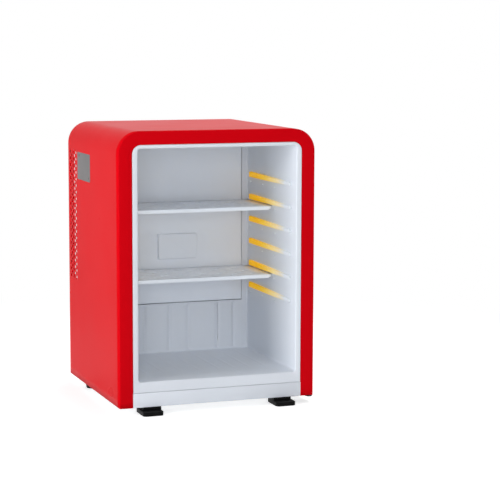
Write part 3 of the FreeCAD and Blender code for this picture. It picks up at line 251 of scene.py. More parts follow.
# %% Build the shared effects
def new_group(name, outputs, **inputs):
    """An empty shader group. A number or a colour is an input's first value and gives its kind."""
    group = bpy.data.node_groups.new(name, "ShaderNodeTree")
    for label, value in inputs.items():
        kind = "NodeSocketFloat" if isinstance(value, float) else "NodeSocketColor"
        group.interface.new_socket(label, in_out="INPUT", socket_type=kind).default_value = value
    for label, kind in outputs.items():
        group.interface.new_socket(label, in_out="OUTPUT", socket_type="NodeSocket" + kind)
    return group, group.nodes.new("NodeGroupInput").outputs, group.nodes.new("NodeGroupOutput").inputs


def add_noise(tree, scale, detail):
    """Noise on Object coordinates, with a scale from an output."""
    place = add_node(tree, "TexCoord").outputs["Object"]
    return add_node(tree, "TexNoise", {"Vector": place, "Scale": scale, "Detail": detail}).outputs["Fac"]


def build_tone():
    """Tone: a colour made darker or lighter in soft patches.  colour x (1 - amount ... 1 + amount)"""
    group, given, out = new_group("tone", {"Color": "Color"}, Color=WHITE, Amount=0.04, Scale=8.0)
    patches = add_noise(group, given["Scale"], 3.0)
    dark = add_math(group, "SUBTRACT", 1.0, given["Amount"])
    light = add_math(group, "ADD", 1.0, given["Amount"])
    level = add_range(group, patches, 0.3, 0.7, dark, light)
    scaled = add_node(group, "VectorMath", {0: given["Color"], "Scale": level}, operation="SCALE")
    group.links.new(scaled.outputs[0], out["Color"])
    return group


def build_grain():
    """Grain: a fine height for Bump, and a roughness that wanders between two ends in larger patches."""
    group, given, out = new_group("grain", {"Height": "Float", "Roughness": "Float"},
                                  Scale=900.0, Patches=14.0, Low=0.3, High=0.4)
    patches = add_noise(group, given["Patches"], 2.0)
    roughness = add_range(group, patches, 0.2, 0.8, given["Low"], given["High"])
    group.links.new(add_noise(group, given["Scale"], 2.0), out["Height"])
    group.links.new(roughness, out["Roughness"])
    return group


def build_dust():
    """Dust: a mask that is high on faces that look up, broken by noise.  up x patches x amount"""
    group, given, out = new_group("dust", {"Mask": "Float"}, Amount=0.1, Scale=60.0)
    normal = add_node(group, "NewGeometry").outputs["Normal"]
    facing = add_node(group, "SeparateXYZ", {0: normal}).outputs["Z"]
    upward = add_range(group, facing, 0.2, 1.0)
    patches = add_range(group, add_noise(group, given["Scale"], 6.0), 0.35, 0.7, 0.2, 1.0)
    broken = add_math(group, "MULTIPLY", upward, patches)
    group.links.new(add_math(group, "MULTIPLY", broken, given["Amount"]), out["Mask"])
    return group


TONE, GRAIN, DUST = build_tone(), build_grain(), build_dust()
print("shared effects:", [each.name for each in bpy.data.node_groups])

# %% [markdown]
# Each material below starts from the same few steps: a base colour through the tone effect, roughness and
# bump from the grain effect, and a little dust on what faces up. What makes one finish differ from another,
# such as the fade on the rails or the crystals on zinc, is added by the material's own function.

# %% Define the base of a finish
DUST_COLOUR = (0.42, 0.40, 0.37, 1)


class Finish:
    """A Principled material whose colour, roughness and bump come from the shared effects.

    low and high are the ends of its roughness, grain is the texture's scale and depth its height in mm.
    """

    def __init__(self, name, colour, low, high, grain=900.0, depth=0.02, tone=0.04, tone_scale=8.0,
                 dust=0.0, metallic=0.0, specular=0.5):
        self.name = name
        self.material = bpy.data.materials.new(name)
        self.material.use_nodes = True
        self.tree = self.material.node_tree
        self.sockets = self.tree.nodes["Principled BSDF"].inputs
        self.sockets["Metallic"].default_value = metallic
        self.sockets["Specular IOR Level"].default_value = specular
        self.tone = self.add("Group", {"Amount": tone, "Scale": tone_scale}, node_tree=TONE)
        if colour is not None:
            self.tone.inputs["Color"].default_value = (*colour, 1)
        base = self.tone.outputs["Color"]
        if dust:
            mask = self.add("Group", {"Amount": dust}, node_tree=DUST).outputs["Mask"]
            base = add_mix(self.tree, mask, base, DUST_COLOUR)
        texture = self.add("Group", {"Scale": grain, "Low": low, "High": high}, node_tree=GRAIN).outputs
        self.bump = self.add("Bump", {"Strength": 1.0, "Distance": depth * MM, "Height": texture["Height"]})
        self.feed(base, self.sockets["Base Color"])
        self.feed(texture["Roughness"], self.sockets["Roughness"])
        self.feed(self.bump.outputs[0], self.sockets["Normal"])

    def add(self, kind, inputs=None, **settings):
        """A node of this finish."""
        return add_node(self.tree, kind, inputs, **settings)

    def feed(self, output, *sockets):
        """Wire an output to one or more sockets."""
        for socket in sockets:
            self.tree.links.new(output, socket)

    def place(self):
        """Object coordinates, in metres."""
        return self.add("TexCoord").outputs["Object"]


# %% [markdown]
# The cabinet's skin is sheet steel with a baked gloss paint. Its colour is a deep red with almost no green
# or blue in it, so that the sheen alone lightens it, and a soft orange-peel bump breaks up reflections. The
# inside's plastics are one cool pale grey, made lighter for the shelves and the cover and darker for the
# liner and the trim: painted light and shade. The rails are amber at the rear and fade to a grey in front
# that is darker than the liner's, painted shade on the noses that face the light, and a little emission is a
# painted glow that lifts them above what the lamps give them. Sheet zinc shows crystals of different tones,
# bare metal fine parallel scratches, and poured foam its cells.

# %% Make the finishes
RED = (0.62, 0.0015, 0.006)
PALE = (0.775, 0.82, 0.89)
BLACK_ENAMEL = (0.012, 0.012, 0.013)
YELLOWED_FOAM, FOAM_CELLS = (0.72, 0.60, 0.33), 450.0
ALUMINIUM, DULL_METAL = (0.62, 0.63, 0.64), (0.165, 0.159, 0.161)
# The first stop is a darker grey than the liner's: painted shade on the rails' noses, which face the light.
AMBER_STOPS = ((45.0, (0.54, 0.57, 0.61)), (104.0, (0.82, 0.64, 0.28)), (165.0, (1.0, 0.60, 0.040)),
               (205.0, (1.0, 0.52, 0.003)))
# Emission strength of the rails: a painted glow, as the rails are no lamp.
RAIL_PAINTED_GLOW = 0.36


def make_pale_plastic(name, painted_light_factor, low, high, depth):
    """Satin moulded plastic in the inside's cool pale grey, made lighter or darker by a factor that is
    painted light and shade.
    """
    colour = [min(1.0, part * painted_light_factor) for part in PALE]
    return Finish(name, colour, low, high, grain=1200.0, depth=depth, tone=0.02, tone_scale=5.0, dust=0.04,
                  specular=0.35)


def make_rail_amber():
    """Warm plastic that fades to a darker grey towards the front, with a painted glow: colour from place
    along Y.
    """
    finish = Finish("rail_amber", None, 0.40, 0.48, depth=0.006, tone=0.012, specular=0.10)
    depth = finish.add("SeparateXYZ", {0: finish.place()}).outputs["Y"]
    first, last = AMBER_STOPS[0][0], AMBER_STOPS[-1][0]
    share = add_range(finish.tree, depth, (first + FRONT_FACE) * MM, (last + FRONT_FACE) * MM)
    ramp = finish.add("ValToRGB", {"Fac": share})
    while len(ramp.color_ramp.elements) < len(AMBER_STOPS):
        ramp.color_ramp.elements.new(0.5)
    for element, (reach, colour) in zip(ramp.color_ramp.elements, AMBER_STOPS):
        element.position = (reach - first) / (last - first)
        element.color = (*colour, 1)
    # The ramp's colours also feed the emission: a painted glow.
    finish.feed(ramp.outputs["Color"], finish.tone.inputs["Color"], finish.sockets["Emission Color"])
    finish.sockets["Emission Strength"].default_value = RAIL_PAINTED_GLOW
    return finish


def make_zinc(name, low, high, crystal, dark=0.46, light=0.56):
    """Galvanised sheet: crystals of a size in mm, each with its own tone between a dark and a light one."""
    finish = Finish(name, None, low, high, grain=700.0, depth=0.008, tone=0.06, dust=0.25, metallic=1.0)
    cells = finish.add("TexVoronoi", {"Vector": finish.place(), "Scale": 1 / (crystal * MM)})
    tone = finish.add("SeparateColor", {0: cells.outputs["Color"]}).outputs[0]
    ends = [(level, level + 0.02, level + 0.04, 1) for level in (dark, light)]
    finish.feed(add_mix(finish.tree, tone, *ends), finish.tone.inputs["Color"])
    return finish


def make_brushed(name, colour, low, high, stretch, metallic=1.0):
    """Bare metal with fine parallel scratches: noise drawn out along one axis drives the bump."""
    finish = Finish(name, colour, low, high, tone=0.05, tone_scale=20.0, dust=0.1, metallic=metallic)
    drawn = finish.add("Mapping", {"Vector": finish.place(), "Scale": stretch}).outputs[0]
    lines = finish.add("TexNoise", {"Vector": drawn, "Scale": 1.0, "Detail": 4.0})
    finish.feed(lines.outputs["Fac"], finish.bump.inputs["Height"])
    return finish


def make_black_plastic(name, level):
    """Moulded black plastic with a spark-eroded texture."""
    return Finish(name, (level, level, level * 1.05), 0.38, 0.48, grain=1500.0, depth=0.02, tone=0.1,
                  dust=0.008, specular=0.06)


def make_foam():
    """Poured foam: rounded cells as bumps under a skin that has yellowed in patches."""
    finish = Finish("foam", YELLOWED_FOAM, 0.75, 0.9, depth=0.6, tone=0.12, tone_scale=25.0)
    cells = finish.add("TexVoronoi", {"Vector": finish.place(), "Scale": FOAM_CELLS})
    finish.feed(cells.outputs["Distance"], finish.bump.inputs["Height"])
    return finish


finishes = [
    Finish("red_paint", RED, 0.27, 0.31, grain=300.0, depth=0.006, tone=0.02, tone_scale=4.0, dust=0.008,
           specular=0.010),
    # The four factors are painted light and shade on one pale grey: the shelves and the cover lighter, the
    # liner and the trim darker.
    make_pale_plastic("liner_plastic", 0.96, 0.34, 0.44, 0.010),
    make_pale_plastic("trim_plastic", 0.95, 0.40, 0.50, 0.015),
    make_pale_plastic("cover_plastic", 1.06, 0.42, 0.52, 0.012),
    make_pale_plastic("shelf_plastic", 1.13, 0.38, 0.48, 0.012),
    make_rail_amber(),
    make_black_plastic("black_plastic", 0.004),
    make_black_plastic("box_plastic", 0.035),
    make_foam(),
    make_zinc("galvanised_steel", 0.34, 0.46, 6.0),
    make_zinc("screw_steel", 0.26, 0.40, 1.5, 0.24, 0.34),
    make_brushed("bare_aluminium", ALUMINIUM, 0.30, 0.42, (60, 60, 1500)),
    make_brushed("bare_plate", DULL_METAL, 0.50, 0.62, (30, 700, 700), metallic=0.35),
    Finish("black_steel", BLACK_ENAMEL, 0.28, 0.45, grain=260.0, depth=0.03, tone=0.2, dust=0.22),
]
materials = {finish.name: finish.material for finish in finishes}
for part in frame["record"]["subparts"]:
    for slot in frame["nodes"][part["node"]].material_slots:
        slot.material = materials[part["material_slot"]]
print("finishes:", len(materials))

# %% [markdown]
# Every new piece is a surface over a grid of two parameters. Here are the few tools that all of them share:
# the grid's faces, the flat faces that close a grid, and the step from numbers to a finished object, which
# merges doubled points and turns every face outwards. A sheet gets its thickness there too.

# %% Tools for surfaces
SMOOTH_BELOW = math.radians(32)
DOUBLED_WITHIN = 0.002


def grid_faces(rows, columns, close_rows=False, close_columns=False):
    """Quads between neighbouring points of a rows x columns grid, closed round either way if asked."""
    index = np.arange(rows * columns).reshape(rows, columns)
    if close_rows:
        index = np.vstack([index, index[:1]])
    if close_columns:
        index = np.hstack([index, index[:, :1]])
    return np.stack([index[:-1, :-1], index[1:, :-1], index[1:, 1:], index[:-1, 1:]], axis=-1).reshape(-1, 4)


def capped(points):
    """A grid closed round its rows, with one flat face over its first column and one over its last."""
    index = np.arange(points.shape[0] * points.shape[1]).reshape(points.shape[:2])
    return points, grid_faces(*points.shape[:2], close_rows=True).tolist() + index[:, [0, -1]].T.tolist()


def soft_edge(steps):
    """How a quarter round leaves a face and meets the next:  1 - cos a  and  1 - sin a,  a to 90 degrees."""
    turn = np.linspace(0, np.pi / 2, steps)
    return 1 - np.cos(turn), 1 - np.sin(turn)


def add_surface(name, parts, slot, stands_for=(), body="cabinet", wall=0.0):
    """One object from (points, faces) parts in cabinet millimetres.

    A wall makes a sheet solid, inwards. The faces of a sheet already look outwards, all others are turned.
    """
    mesh = bpy.data.meshes.new(name)
    points, faces, count = [], [], 0
    for part_points, part_faces in parts:
        flat = np.asarray(part_points, dtype=float).reshape(-1, 3)
        listed = part_faces.tolist() if isinstance(part_faces, np.ndarray) else part_faces
        points.append(flat)
        faces += [[corner + count for corner in face] for face in listed]
        count += len(flat)
    mesh.from_pydata(((np.vstack(points) + SHIFT) * MM).tolist(), [], faces)
    work = bmesh.new()
    work.from_mesh(mesh)
    bmesh.ops.remove_doubles(work, verts=work.verts, dist=DOUBLED_WITHIN * MM)
    if not wall:
        bmesh.ops.recalc_face_normals(work, faces=work.faces)
    work.to_mesh(mesh)
    work.free()
    mesh.polygons.foreach_set("use_smooth", np.ones(len(mesh.polygons), dtype=bool))
    mesh.set_sharp_from_angle(angle=SMOOTH_BELOW)
    mesh.materials.append(materials[slot])
    piece = bpy.data.objects.new(name, mesh)
    bpy.context.collection.objects.link(piece)
    if wall:
        solid = piece.modifiers.new("wall", "SOLIDIFY")
        solid.thickness = wall * MM
        solid.offset = -1
    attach(piece, body)
    if stands_for:
        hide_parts(*stands_for)
    print(f"{name}: {len(mesh.polygons)} faces")


# %% [markdown]
# The cabinet's outline is an upside-down U with large round corners. Every sheet that follows it, such as
# the wrap, its rear flange and the front frame, is the same outline moved inwards by some offset. So the
# outline is kept as centres and directions: a point is  centre + (radius - offset) x direction,  and one
# formula gives the outline at any offset.

# %% The arch outline
ARC_STEPS, ROOF_POINTS = 20, 25


def arch(half, top, radius, levels):
    """Centres and directions, in X and Z, from the left foot over the top to the right foot.

    levels are the heights of the points on each leg, the last at the arc's start.
    """
    turn = np.linspace(0, np.pi / 2, ARC_STEPS + 1)[1:-1]
    leg = np.column_stack([np.full(len(levels), half - radius), levels])
    side = np.vstack([leg, np.tile([half - radius, top - radius], (len(turn), 1))])
    side_ways = np.vstack([np.tile([1.0, 0.0], (len(levels), 1)),
                           np.column_stack([np.cos(turn), np.sin(turn)])])
    across = np.linspace(-1, 1, ROOF_POINTS) * (half - radius)
    roof = np.column_stack([across, np.full(ROOF_POINTS, top - radius)])
    roof_ways = np.tile([0.0, 1.0], (ROOF_POINTS, 1))
    mirror = np.array([-1.0, 1.0])
    return (np.vstack([side * mirror, roof, side[::-1]]),
            np.vstack([side_ways * mirror, roof_ways, side_ways[::-1]]))


def raise_outline(outline, depths):
    """Points (x, depth, z) for outlines in X and Z, one for each depth: an array outline x depth x 3."""
    return np.stack([outline[..., 0], np.broadcast_to(depths, outline.shape[:2]), outline[..., 1]], axis=-1)


# %% [markdown]
# The wrap is one painted sheet bent over both sides and the top, with air holes near the rear edge. Holes
# could be cut with a boolean, but that leaves long thin faces. Here the grid's lines are placed so that each
# hole sits on a crossing, and each hole takes the place of four by four squares: sixteen quads lead from the
# square's border to the circle. The rear edge turns inwards by a flange.

# %% The outer wrap
CORNER_RADIUS = 44.0
REAR_FLANGE = 12.0
WRAP_WALL = 0.7
EDGE_ROUND = 1.6
VENT_RADIUS = 3.4
VENT_ROWS, VENT_PITCH, VENT_LOW = 20, CASE_HEIGHT * 0.02553, CASE_HEIGHT * 0.4006
VENT_COLUMNS, VENT_COLUMN_PITCH, VENT_REAR = 5, 10.8, CASE_DEPTH - 19.5
ROWS_BELOW, COLUMNS_BEFORE = 13, 17
SQUARE = 4
RING = np.array([(2, 0), (2, 1), (2, 2), (1, 2), (0, 2), (-1, 2), (-2, 2), (-2, 1),
                 (-2, 0), (-2, -1), (-2, -2), (-1, -2), (0, -2), (1, -2), (2, -2), (2, -1)])


def punched_grid(points, rows, columns, radius):
    """A grid's points and quads in which round holes, centred on crossings, replace 4 x 4 squares.

    Circle:  centre + radius (cos a x along the rows + sin a x along the columns).
    """
    count, width = points.shape[:2]
    index = np.arange(count * width).reshape(count, width)
    keep = np.ones((count - 1, width - 1), dtype=bool)
    near = np.arange(-SQUARE // 2, SQUARE // 2)
    keep[(rows[:, None, None] + near[:, None]), (columns[:, None, None] + near[None, :])] = False
    quads = grid_faces(count, width)[keep.ravel()]
    border = index[rows[:, None] + RING[:, 0], columns[:, None] + RING[:, 1]]
    centre = points[rows, columns]
    along = points[rows + 1, columns] - centre
    across = points[rows, columns + 1] - centre
    along /= np.linalg.norm(along, axis=1, keepdims=True)
    across /= np.linalg.norm(across, axis=1, keepdims=True)
    angle = np.linspace(0, 2 * np.pi, len(RING), endpoint=False)[None, :, None]
    circle = centre[:, None] + radius * (np.cos(angle) * along[:, None] + np.sin(angle) * across[:, None])
    ring = count * width + np.arange(len(rows) * len(RING)).reshape(len(rows), -1)
    rim = np.stack([border, np.roll(border, -1, axis=1), np.roll(ring, -1, axis=1), ring], axis=-1)
    return np.vstack([points.reshape(-1, 3), circle.reshape(-1, 3)]), np.vstack([quads, rim.reshape(-1, 4)])


def hole_lines(first, pitch, count):
    """Grid lines a quarter of a pitch apart, two beyond the first and the last hole's centre."""
    return first + np.arange(-SQUARE // 2, SQUARE * (count - 1) + SQUARE // 2 + 1) * pitch / SQUARE


def make_wrap():
    """Arch outline x depth, with the rear edge rounded into its flange and a field of vents on each side."""
    vents = hole_lines(VENT_LOW, VENT_PITCH, VENT_ROWS)
    levels = np.concatenate([np.linspace(0, vents[0], ROWS_BELOW, endpoint=False), vents,
                             [CASE_HEIGHT - CORNER_RADIUS]])
    centres, ways = arch(HALF_WIDTH, CASE_HEIGHT, CORNER_RADIUS, levels)
    columns = hole_lines(VENT_REAR - VENT_COLUMN_PITCH * (VENT_COLUMNS - 1), VENT_COLUMN_PITCH, VENT_COLUMNS)
    leave, meet = soft_edge(5)
    depths = np.concatenate([np.linspace(SHEET, columns[0], COLUMNS_BEFORE, endpoint=False), columns,
                             CASE_DEPTH - EDGE_ROUND * meet, [CASE_DEPTH]])
    offsets = np.concatenate([np.zeros(COLUMNS_BEFORE + len(columns)), EDGE_ROUND * leave, [REAR_FLANGE]])
    outline = centres[:, None] + (CORNER_RADIUS - offsets)[None, :, None] * ways[:, None]
    points = raise_outline(outline, depths)
    row, column = np.meshgrid(np.arange(VENT_ROWS), np.arange(VENT_COLUMNS), indexing="ij")
    there = (row < VENT_ROWS - 1) | (column % 2 == 0)
    row, column = row[there], column[there]
    left = ROWS_BELOW + SQUARE // 2 + SQUARE * row + column % 2 * SQUARE // 2
    right = len(points) - 1 - left
    across = COLUMNS_BEFORE + SQUARE // 2 + SQUARE * column
    sheet = punched_grid(points, np.concatenate([left, right]), np.tile(across, 2), VENT_RADIUS)
    add_surface("painted_wrap", [sheet], "red_paint", ["outer_wrap"], wall=WRAP_WALL)


make_wrap()

# %% [markdown]
# The front frame is a shallow pressing round the mouth: two legs and a top bar with a soft outer edge, and
# a lip turned in round the liner. Its outer and its inner outline are two arches of different radius, so
# the surface is ruled between them: a point is  outer + share x (inner - outer),  set back by a depth.

# %% The front frame
LEG_WIDTH, TOP_WIDTH = 26.8, 25.5
LEG_ROWS = 40
INNER_RADIUS = 18.0
LIP_DEPTH = span("front_frame")[1][1]
OUTER_EDGE, INNER_EDGE = 1.8, 0.9


def make_front_frame():
    """Outer arch to inner arch, with elliptical rounds: share and depth both follow a quarter turn."""
    leave, meet = soft_edge(6)
    shares = np.concatenate([OUTER_EDGE / LEG_WIDTH * leave, 1 - INNER_EDGE / LEG_WIDTH * meet, [1.0]])
    depths = np.concatenate([SHEET * meet, INNER_EDGE * leave, [LIP_DEPTH]])
    outlines = []
    for half, top, radius in ((HALF_WIDTH, CASE_HEIGHT, CORNER_RADIUS),
                              (HALF_WIDTH - LEG_WIDTH, CASE_HEIGHT - TOP_WIDTH, INNER_RADIUS)):
        centres, ways = arch(half, top, radius, np.linspace(0, top - radius, LEG_ROWS))
        outlines.append(centres + radius * ways)
    outer, inner = outlines
    outline = outer[:, None] + shares[None, :, None] * (inner - outer)[:, None]
    points = raise_outline(outline, depths)
    faces = grid_faces(*points.shape[:2])[:, ::-1]
    add_surface("painted_front_frame", [(points, faces)], "red_paint", ["front_frame"], wall=SHEET)


make_front_frame()

# %% [markdown]
# The inside is one sheet of plastic drawn into a tub, which is why all its edges are round. Its walls are a
# closed outline carried back along the depth, its rear wall is a height field, and both use the same lines,
# so they share their edge points. The rear wall comes forward beside and below the evaporator cover and
# leaves a narrow gap round it. Shallow flutes are sunk into it below the cover and grooves into the floor:
# each is a raised cosine,  depth x (1 + cos(pi x distance / half width)) / 2.

# %% The inner liner
TUB_RADIUS = 4.0
FLAT_HALF = INTERIOR_HALF - TUB_RADIUS
FLAT_LOW, FLAT_HIGH = INTERIOR_FLOOR + TUB_RADIUS, INTERIOR_TOP - TUB_RADIUS
MOUTH_BEVEL, BEVEL_WIDTH = 3.2, 2.2
MOUTH_FLARE, FLARE_WIDTH = 42.0, 1.6
FLANGE_EDGE, FLANGE_GAP = 0.8, 0.5
FLUTE_WIDTH, FLUTE_DEPTH = 15.0, 2.6
FLUTE_SHARES = np.array([-0.88, -0.43, -0.09, 0.17, 0.57, 0.80])
GROOVE_WIDTH, GROOVE_DEPTH = 9.0, 0.5
GROOVE_SHARES = np.array([-0.78, -0.55, -0.32, -0.09, 0.17, 0.37, 0.57, 0.78])
GROOVE_FRONT, GROOVE_REAR = INTERIOR_REAR * 0.29 - 12, INTERIOR_REAR - 12
flange_low, flange_high = span("inner_liner")
LINER_WALL = flange_high[1] - INTERIOR_REAR
cover_low, cover_high = span("evaporator_cover")
plug_low, plug_high = span("evaporator_plug")
COVER_GAP, STRIP_RISE, STEP = 2.6, 9.0, 0.4
GROOVE_FADES, FLUTE_FADES, FLUTES_BELOW_COVER = (12, -8), (-3, 6), 4
STRIP = INTERIOR_REAR - STRIP_RISE
GAP_HALF, GAP_LOW = cover_high[0] + COVER_GAP, cover_low[2] - COVER_GAP


def cosine_rows(x, middles, width):
    """The sum of raised cosines of a width, one on each middle."""
    distance = np.abs(x[..., None] - middles)
    return np.where(distance < width / 2, (1 + np.cos(2 * np.pi * distance / width)) / 2, 0).sum(axis=-1)


def fade_in(value, start, length):
    """0 up to the start, then rising to 1 over a length, or the other way for a negative length."""
    return np.clip((value - start) / length, 0, 1)


def closed_outline(half, low, high, radius_low, radius_high, across, upward):
    """A rounded upright rectangle in X and Z, counter-clockwise from the lower left corner's end.

    across and upward, from -1 to 1 and from 0 to 1, are the shares at which its straight sides have points.
    """
    turn = np.linspace(0, np.pi / 2, 8)[1:-1]

    def corner(x, z, radius, start):
        angle = start + turn
        return np.column_stack([x + radius * np.cos(angle), z + radius * np.sin(angle)])

    rise = (low + radius_low) + upward * (high - radius_high - low - radius_low)
    lower, upper = across * (half - radius_low), across * (half - radius_high)
    return np.vstack([
        np.column_stack([lower, np.full(len(across), low)]),
        corner(half - radius_low, low + radius_low, radius_low, -np.pi / 2),
        np.column_stack([np.full(len(upward), half), rise]),
        corner(half - radius_high, high - radius_high, radius_high, 0),
        np.column_stack([upper[::-1], np.full(len(across), high)]),
        corner(radius_high - half, high - radius_high, radius_high, np.pi / 2),
        np.column_stack([np.full(len(upward), -half), rise[::-1]]),
        corner(radius_low - half, low + radius_low, radius_low, np.pi),
    ])


def liner_lines():
    """The shared lines: even ones, finer ones over each flute and groove, and those of gap and opening."""
    fine = np.linspace(-FLUTE_WIDTH / 2, FLUTE_WIDTH / 2, 13)
    middles = np.concatenate([FLUTE_SHARES, GROOVE_SHARES]) * INTERIOR_HALF
    x_lines = np.concatenate([np.linspace(-FLAT_HALF, FLAT_HALF, 31), (middles[:, None] + fine).ravel(),
                              [plug_low[0], plug_high[0]],
                              [-GAP_HALF, STEP - GAP_HALF, GAP_HALF - STEP, GAP_HALF]])
    z_lines = np.concatenate([np.linspace(FLAT_LOW, FLAT_HIGH, 40), cover_low[2] + np.linspace(-16, -6, 6),
                              [GAP_LOW - STEP, GAP_LOW, plug_low[2], plug_high[2]]])
    return np.unique(np.round(x_lines[np.abs(x_lines) <= FLAT_HALF], 2)), np.unique(np.round(z_lines, 2))


def liner_walls(x_lines, z_lines):
    """Flange, bevelled and flared mouth, straight walls and the round to the rear, grooves in the floor."""
    shares = x_lines / FLAT_HALF, (z_lines - FLAT_LOW) / (FLAT_HIGH - FLAT_LOW)

    def flange(inset):
        return closed_outline(flange_high[0] - inset, flange_low[2] + inset, flange_high[2] - inset, 0.0,
                              INNER_RADIUS - FLANGE_GAP - inset, *shares)

    wide, narrow = flange(0), flange(FLANGE_EDGE)
    leave, meet = soft_edge(6)
    flare = np.linspace(0, 1, 12)[1:]
    straight = np.linspace(MOUTH_FLARE, STRIP - TUB_RADIUS, 40)[1:]
    grows = np.concatenate([FLARE_WIDTH + BEVEL_WIDTH * meet, FLARE_WIDTH * (1 - flare) ** 2, 0 * straight,
                            -TUB_RADIUS * leave[1:]])
    outlines = [wide, wide, wide * 0.3 + narrow * 0.7, narrow]
    outlines += [closed_outline(INTERIOR_HALF + grow, INTERIOR_FLOOR - grow, INTERIOR_TOP + grow,
                                TUB_RADIUS + grow, TUB_RADIUS + grow, *shares) for grow in grows]
    depths = np.concatenate([[LINER_WALL, FLANGE_EDGE, FLANGE_EDGE * 0.3, 0.0], MOUTH_BEVEL * leave,
                             MOUTH_BEVEL + flare * (MOUTH_FLARE - MOUTH_BEVEL), straight,
                             STRIP - TUB_RADIUS * meet[1:]])
    walls = raise_outline(np.stack(outlines, axis=1), depths)
    floor = walls[:len(x_lines)]
    grooves = cosine_rows(floor[..., 0], GROOVE_SHARES * INTERIOR_HALF, GROOVE_WIDTH)
    within = (fade_in(floor[..., 1], GROOVE_FRONT, GROOVE_FADES[0])
              * fade_in(floor[..., 1], GROOVE_REAR, GROOVE_FADES[1]))
    floor[..., 2] -= GROOVE_DEPTH * grooves * within
    return walls, grid_faces(*walls.shape[:2], close_rows=True)[:, ::-1]


def liner_rear(x_lines, z_lines):
    """The rear wall: a strip brought forward, the recess round the cover, the flutes and the opening."""
    x, z = np.meshgrid(x_lines, z_lines, indexing="ij")
    recess = (np.abs(x) < GAP_HALF - STEP / 2) & (z > GAP_LOW - STEP / 2)
    below = (fade_in(z, cover_low[2] - FLUTES_BELOW_COVER, FLUTE_FADES[0])
             * fade_in(z, FLAT_LOW, FLUTE_FADES[1]))
    flutes = cosine_rows(x, FLUTE_SHARES * INTERIOR_HALF, FLUTE_WIDTH)
    rear = np.stack([x, STRIP + STRIP_RISE * recess + FLUTE_DEPTH * flutes * below, z], axis=-1)
    quads = grid_faces(*x.shape)
    middle = rear.reshape(-1, 3)[quads].mean(axis=1)
    opening = ((np.abs(middle[:, 0]) < plug_high[0]) & (middle[:, 2] > plug_low[2])
               & (middle[:, 2] < plug_high[2]))
    return rear, quads[~opening]


lines = liner_lines()
add_surface("moulded_liner", [liner_walls(*lines), liner_rear(*lines)], "liner_plastic", ["inner_liner"],
            wall=-LINER_WALL)

# %% [markdown]
# Small flat or blocky parts, such as a rail, a foot or a cover, are slabs: a rounded outline pushed along an
# axis, with both rims rounded. Rounding a rim means moving the outline inwards as it nears the end, so the
# outline is again kept as centres and directions, now for any polygon. A corner that turns the other way
# has a negative radius, and the same formula holds. An end that touches another part has next to no rim.

# %% A tool for slabs
PLANES = {"XY": (0, 1, 2), "YZ": (1, 2, 0), "XZ": (0, 2, 1)}
NO_RIM = 0.02


def polygon_outline(corners, steps=5):
    """Centres, ways and radii for corners (x, y, radius), counter-clockwise:  centre + radius x way."""
    places, radii = np.array(corners, dtype=float)[:, :2], np.array(corners, dtype=float)[:, 2]
    ahead = np.roll(places, -1, axis=0) - places
    ahead /= np.linalg.norm(ahead, axis=1, keepdims=True)
    behind = np.roll(ahead, 1, axis=0)
    turns_left = behind[:, 0] * ahead[:, 1] - behind[:, 1] * ahead[:, 0] > 0
    signed = np.where(turns_left, radii, -radii)
    first = np.column_stack([behind[:, 1], -behind[:, 0]])
    last = np.column_stack([ahead[:, 1], -ahead[:, 0]])
    spread = 1 + (first * last).sum(axis=1, keepdims=True)
    centres = places - (first + last) / spread * signed[:, None]
    share = np.linspace(0, 1, steps)[None, :, None]
    start = np.arctan2(first[:, 1], first[:, 0])
    swing = np.arctan2(first[:, 0] * last[:, 1] - first[:, 1] * last[:, 0], (first * last).sum(axis=1))
    angle = start[:, None, None] + swing[:, None, None] * share
    ways = np.concatenate([np.cos(angle), np.sin(angle)], axis=-1)
    return np.repeat(centres, steps, axis=0), ways.reshape(-1, 2), np.repeat(signed, steps)


def slab(corners, plane, start, end, rim=0.6, rim_end=None, steps=5, rim_steps=4):
    """A rounded outline pushed along the plane's normal from start to end, with round rims and flat ends."""
    centres, ways, radii = polygon_outline(corners, steps)
    rim_end = rim if rim_end is None else rim_end
    leave, meet = soft_edge(rim_steps)
    insets = np.concatenate([rim * meet, rim_end * leave])
    heights = np.concatenate([start + rim * leave, end - rim_end * meet])
    flat = centres[:, None] + (radii[:, None] - insets[None, :])[..., None] * ways[:, None]
    points = np.empty(flat.shape[:2] + (3,))
    first, second, normal = PLANES[plane]
    points[..., first], points[..., second], points[..., normal] = flat[..., 0], flat[..., 1], heights
    return capped(points)


def box_corners(left, right, low, high, radius):
    """The four corners of a rectangle, all with one radius."""
    return [(left, low, radius), (right, low, radius), (right, high, radius), (left, high, radius)]


# %% [markdown]
# Twelve rails carry the shelves. Each is a bar with a rounded nose, moulded onto the side wall, and its
# lower edge is set a little higher than the solid's, as the photograph shows it. The rails' warm colour
# fades out to the front, which is in their material. Three small round pegs stand out of the wall below
# each rail, and a shelf slides on them.

# %% Rails and pegs
SHELF_LEVELS = 6
RAIL_NOSE, RAIL_TRIM, RAIL_RIM = 7.4, 2.2, 1.0
FRONT_ROUND, REAR_ROUND, NOSE_ROUND = 2.2, 1.2, 3.4
PEG_RADIUS, PEG_REACH, PEG_SIDES = 1.5, 3.0, 12
PEG_SHARES = np.array([(0.0, 1.0), (0.6, 0.92), (0.9, 0.7), (1.0, 0.35)])
PEG_DROP = 6.65
PEGS_PER_RAIL, PEG_PITCH_SHARE = 3, 0.304


def make_rail(side, number):
    """One rail: its outline in Y and Z, pushed out of the wall."""
    node = f"{side}_rail_{number}"
    low, high = span(node)
    front, rear, bottom, top = low[1], high[1], low[2] + RAIL_TRIM, high[2]
    corners = [(front, bottom, FRONT_ROUND), (rear, bottom, REAR_ROUND), (rear, top, REAR_ROUND),
               (front + RAIL_NOSE / 2, bottom + RAIL_NOSE, NOSE_ROUND),
               (front, bottom + RAIL_NOSE / 2, FRONT_ROUND)]
    rims = (RAIL_RIM, NO_RIM) if side == "right" else (NO_RIM, RAIL_RIM)
    add_surface(f"{side}_shelf_rail_{number}", [slab(corners, "YZ", low[0], high[0], *rims)], "rail_amber",
                [node])


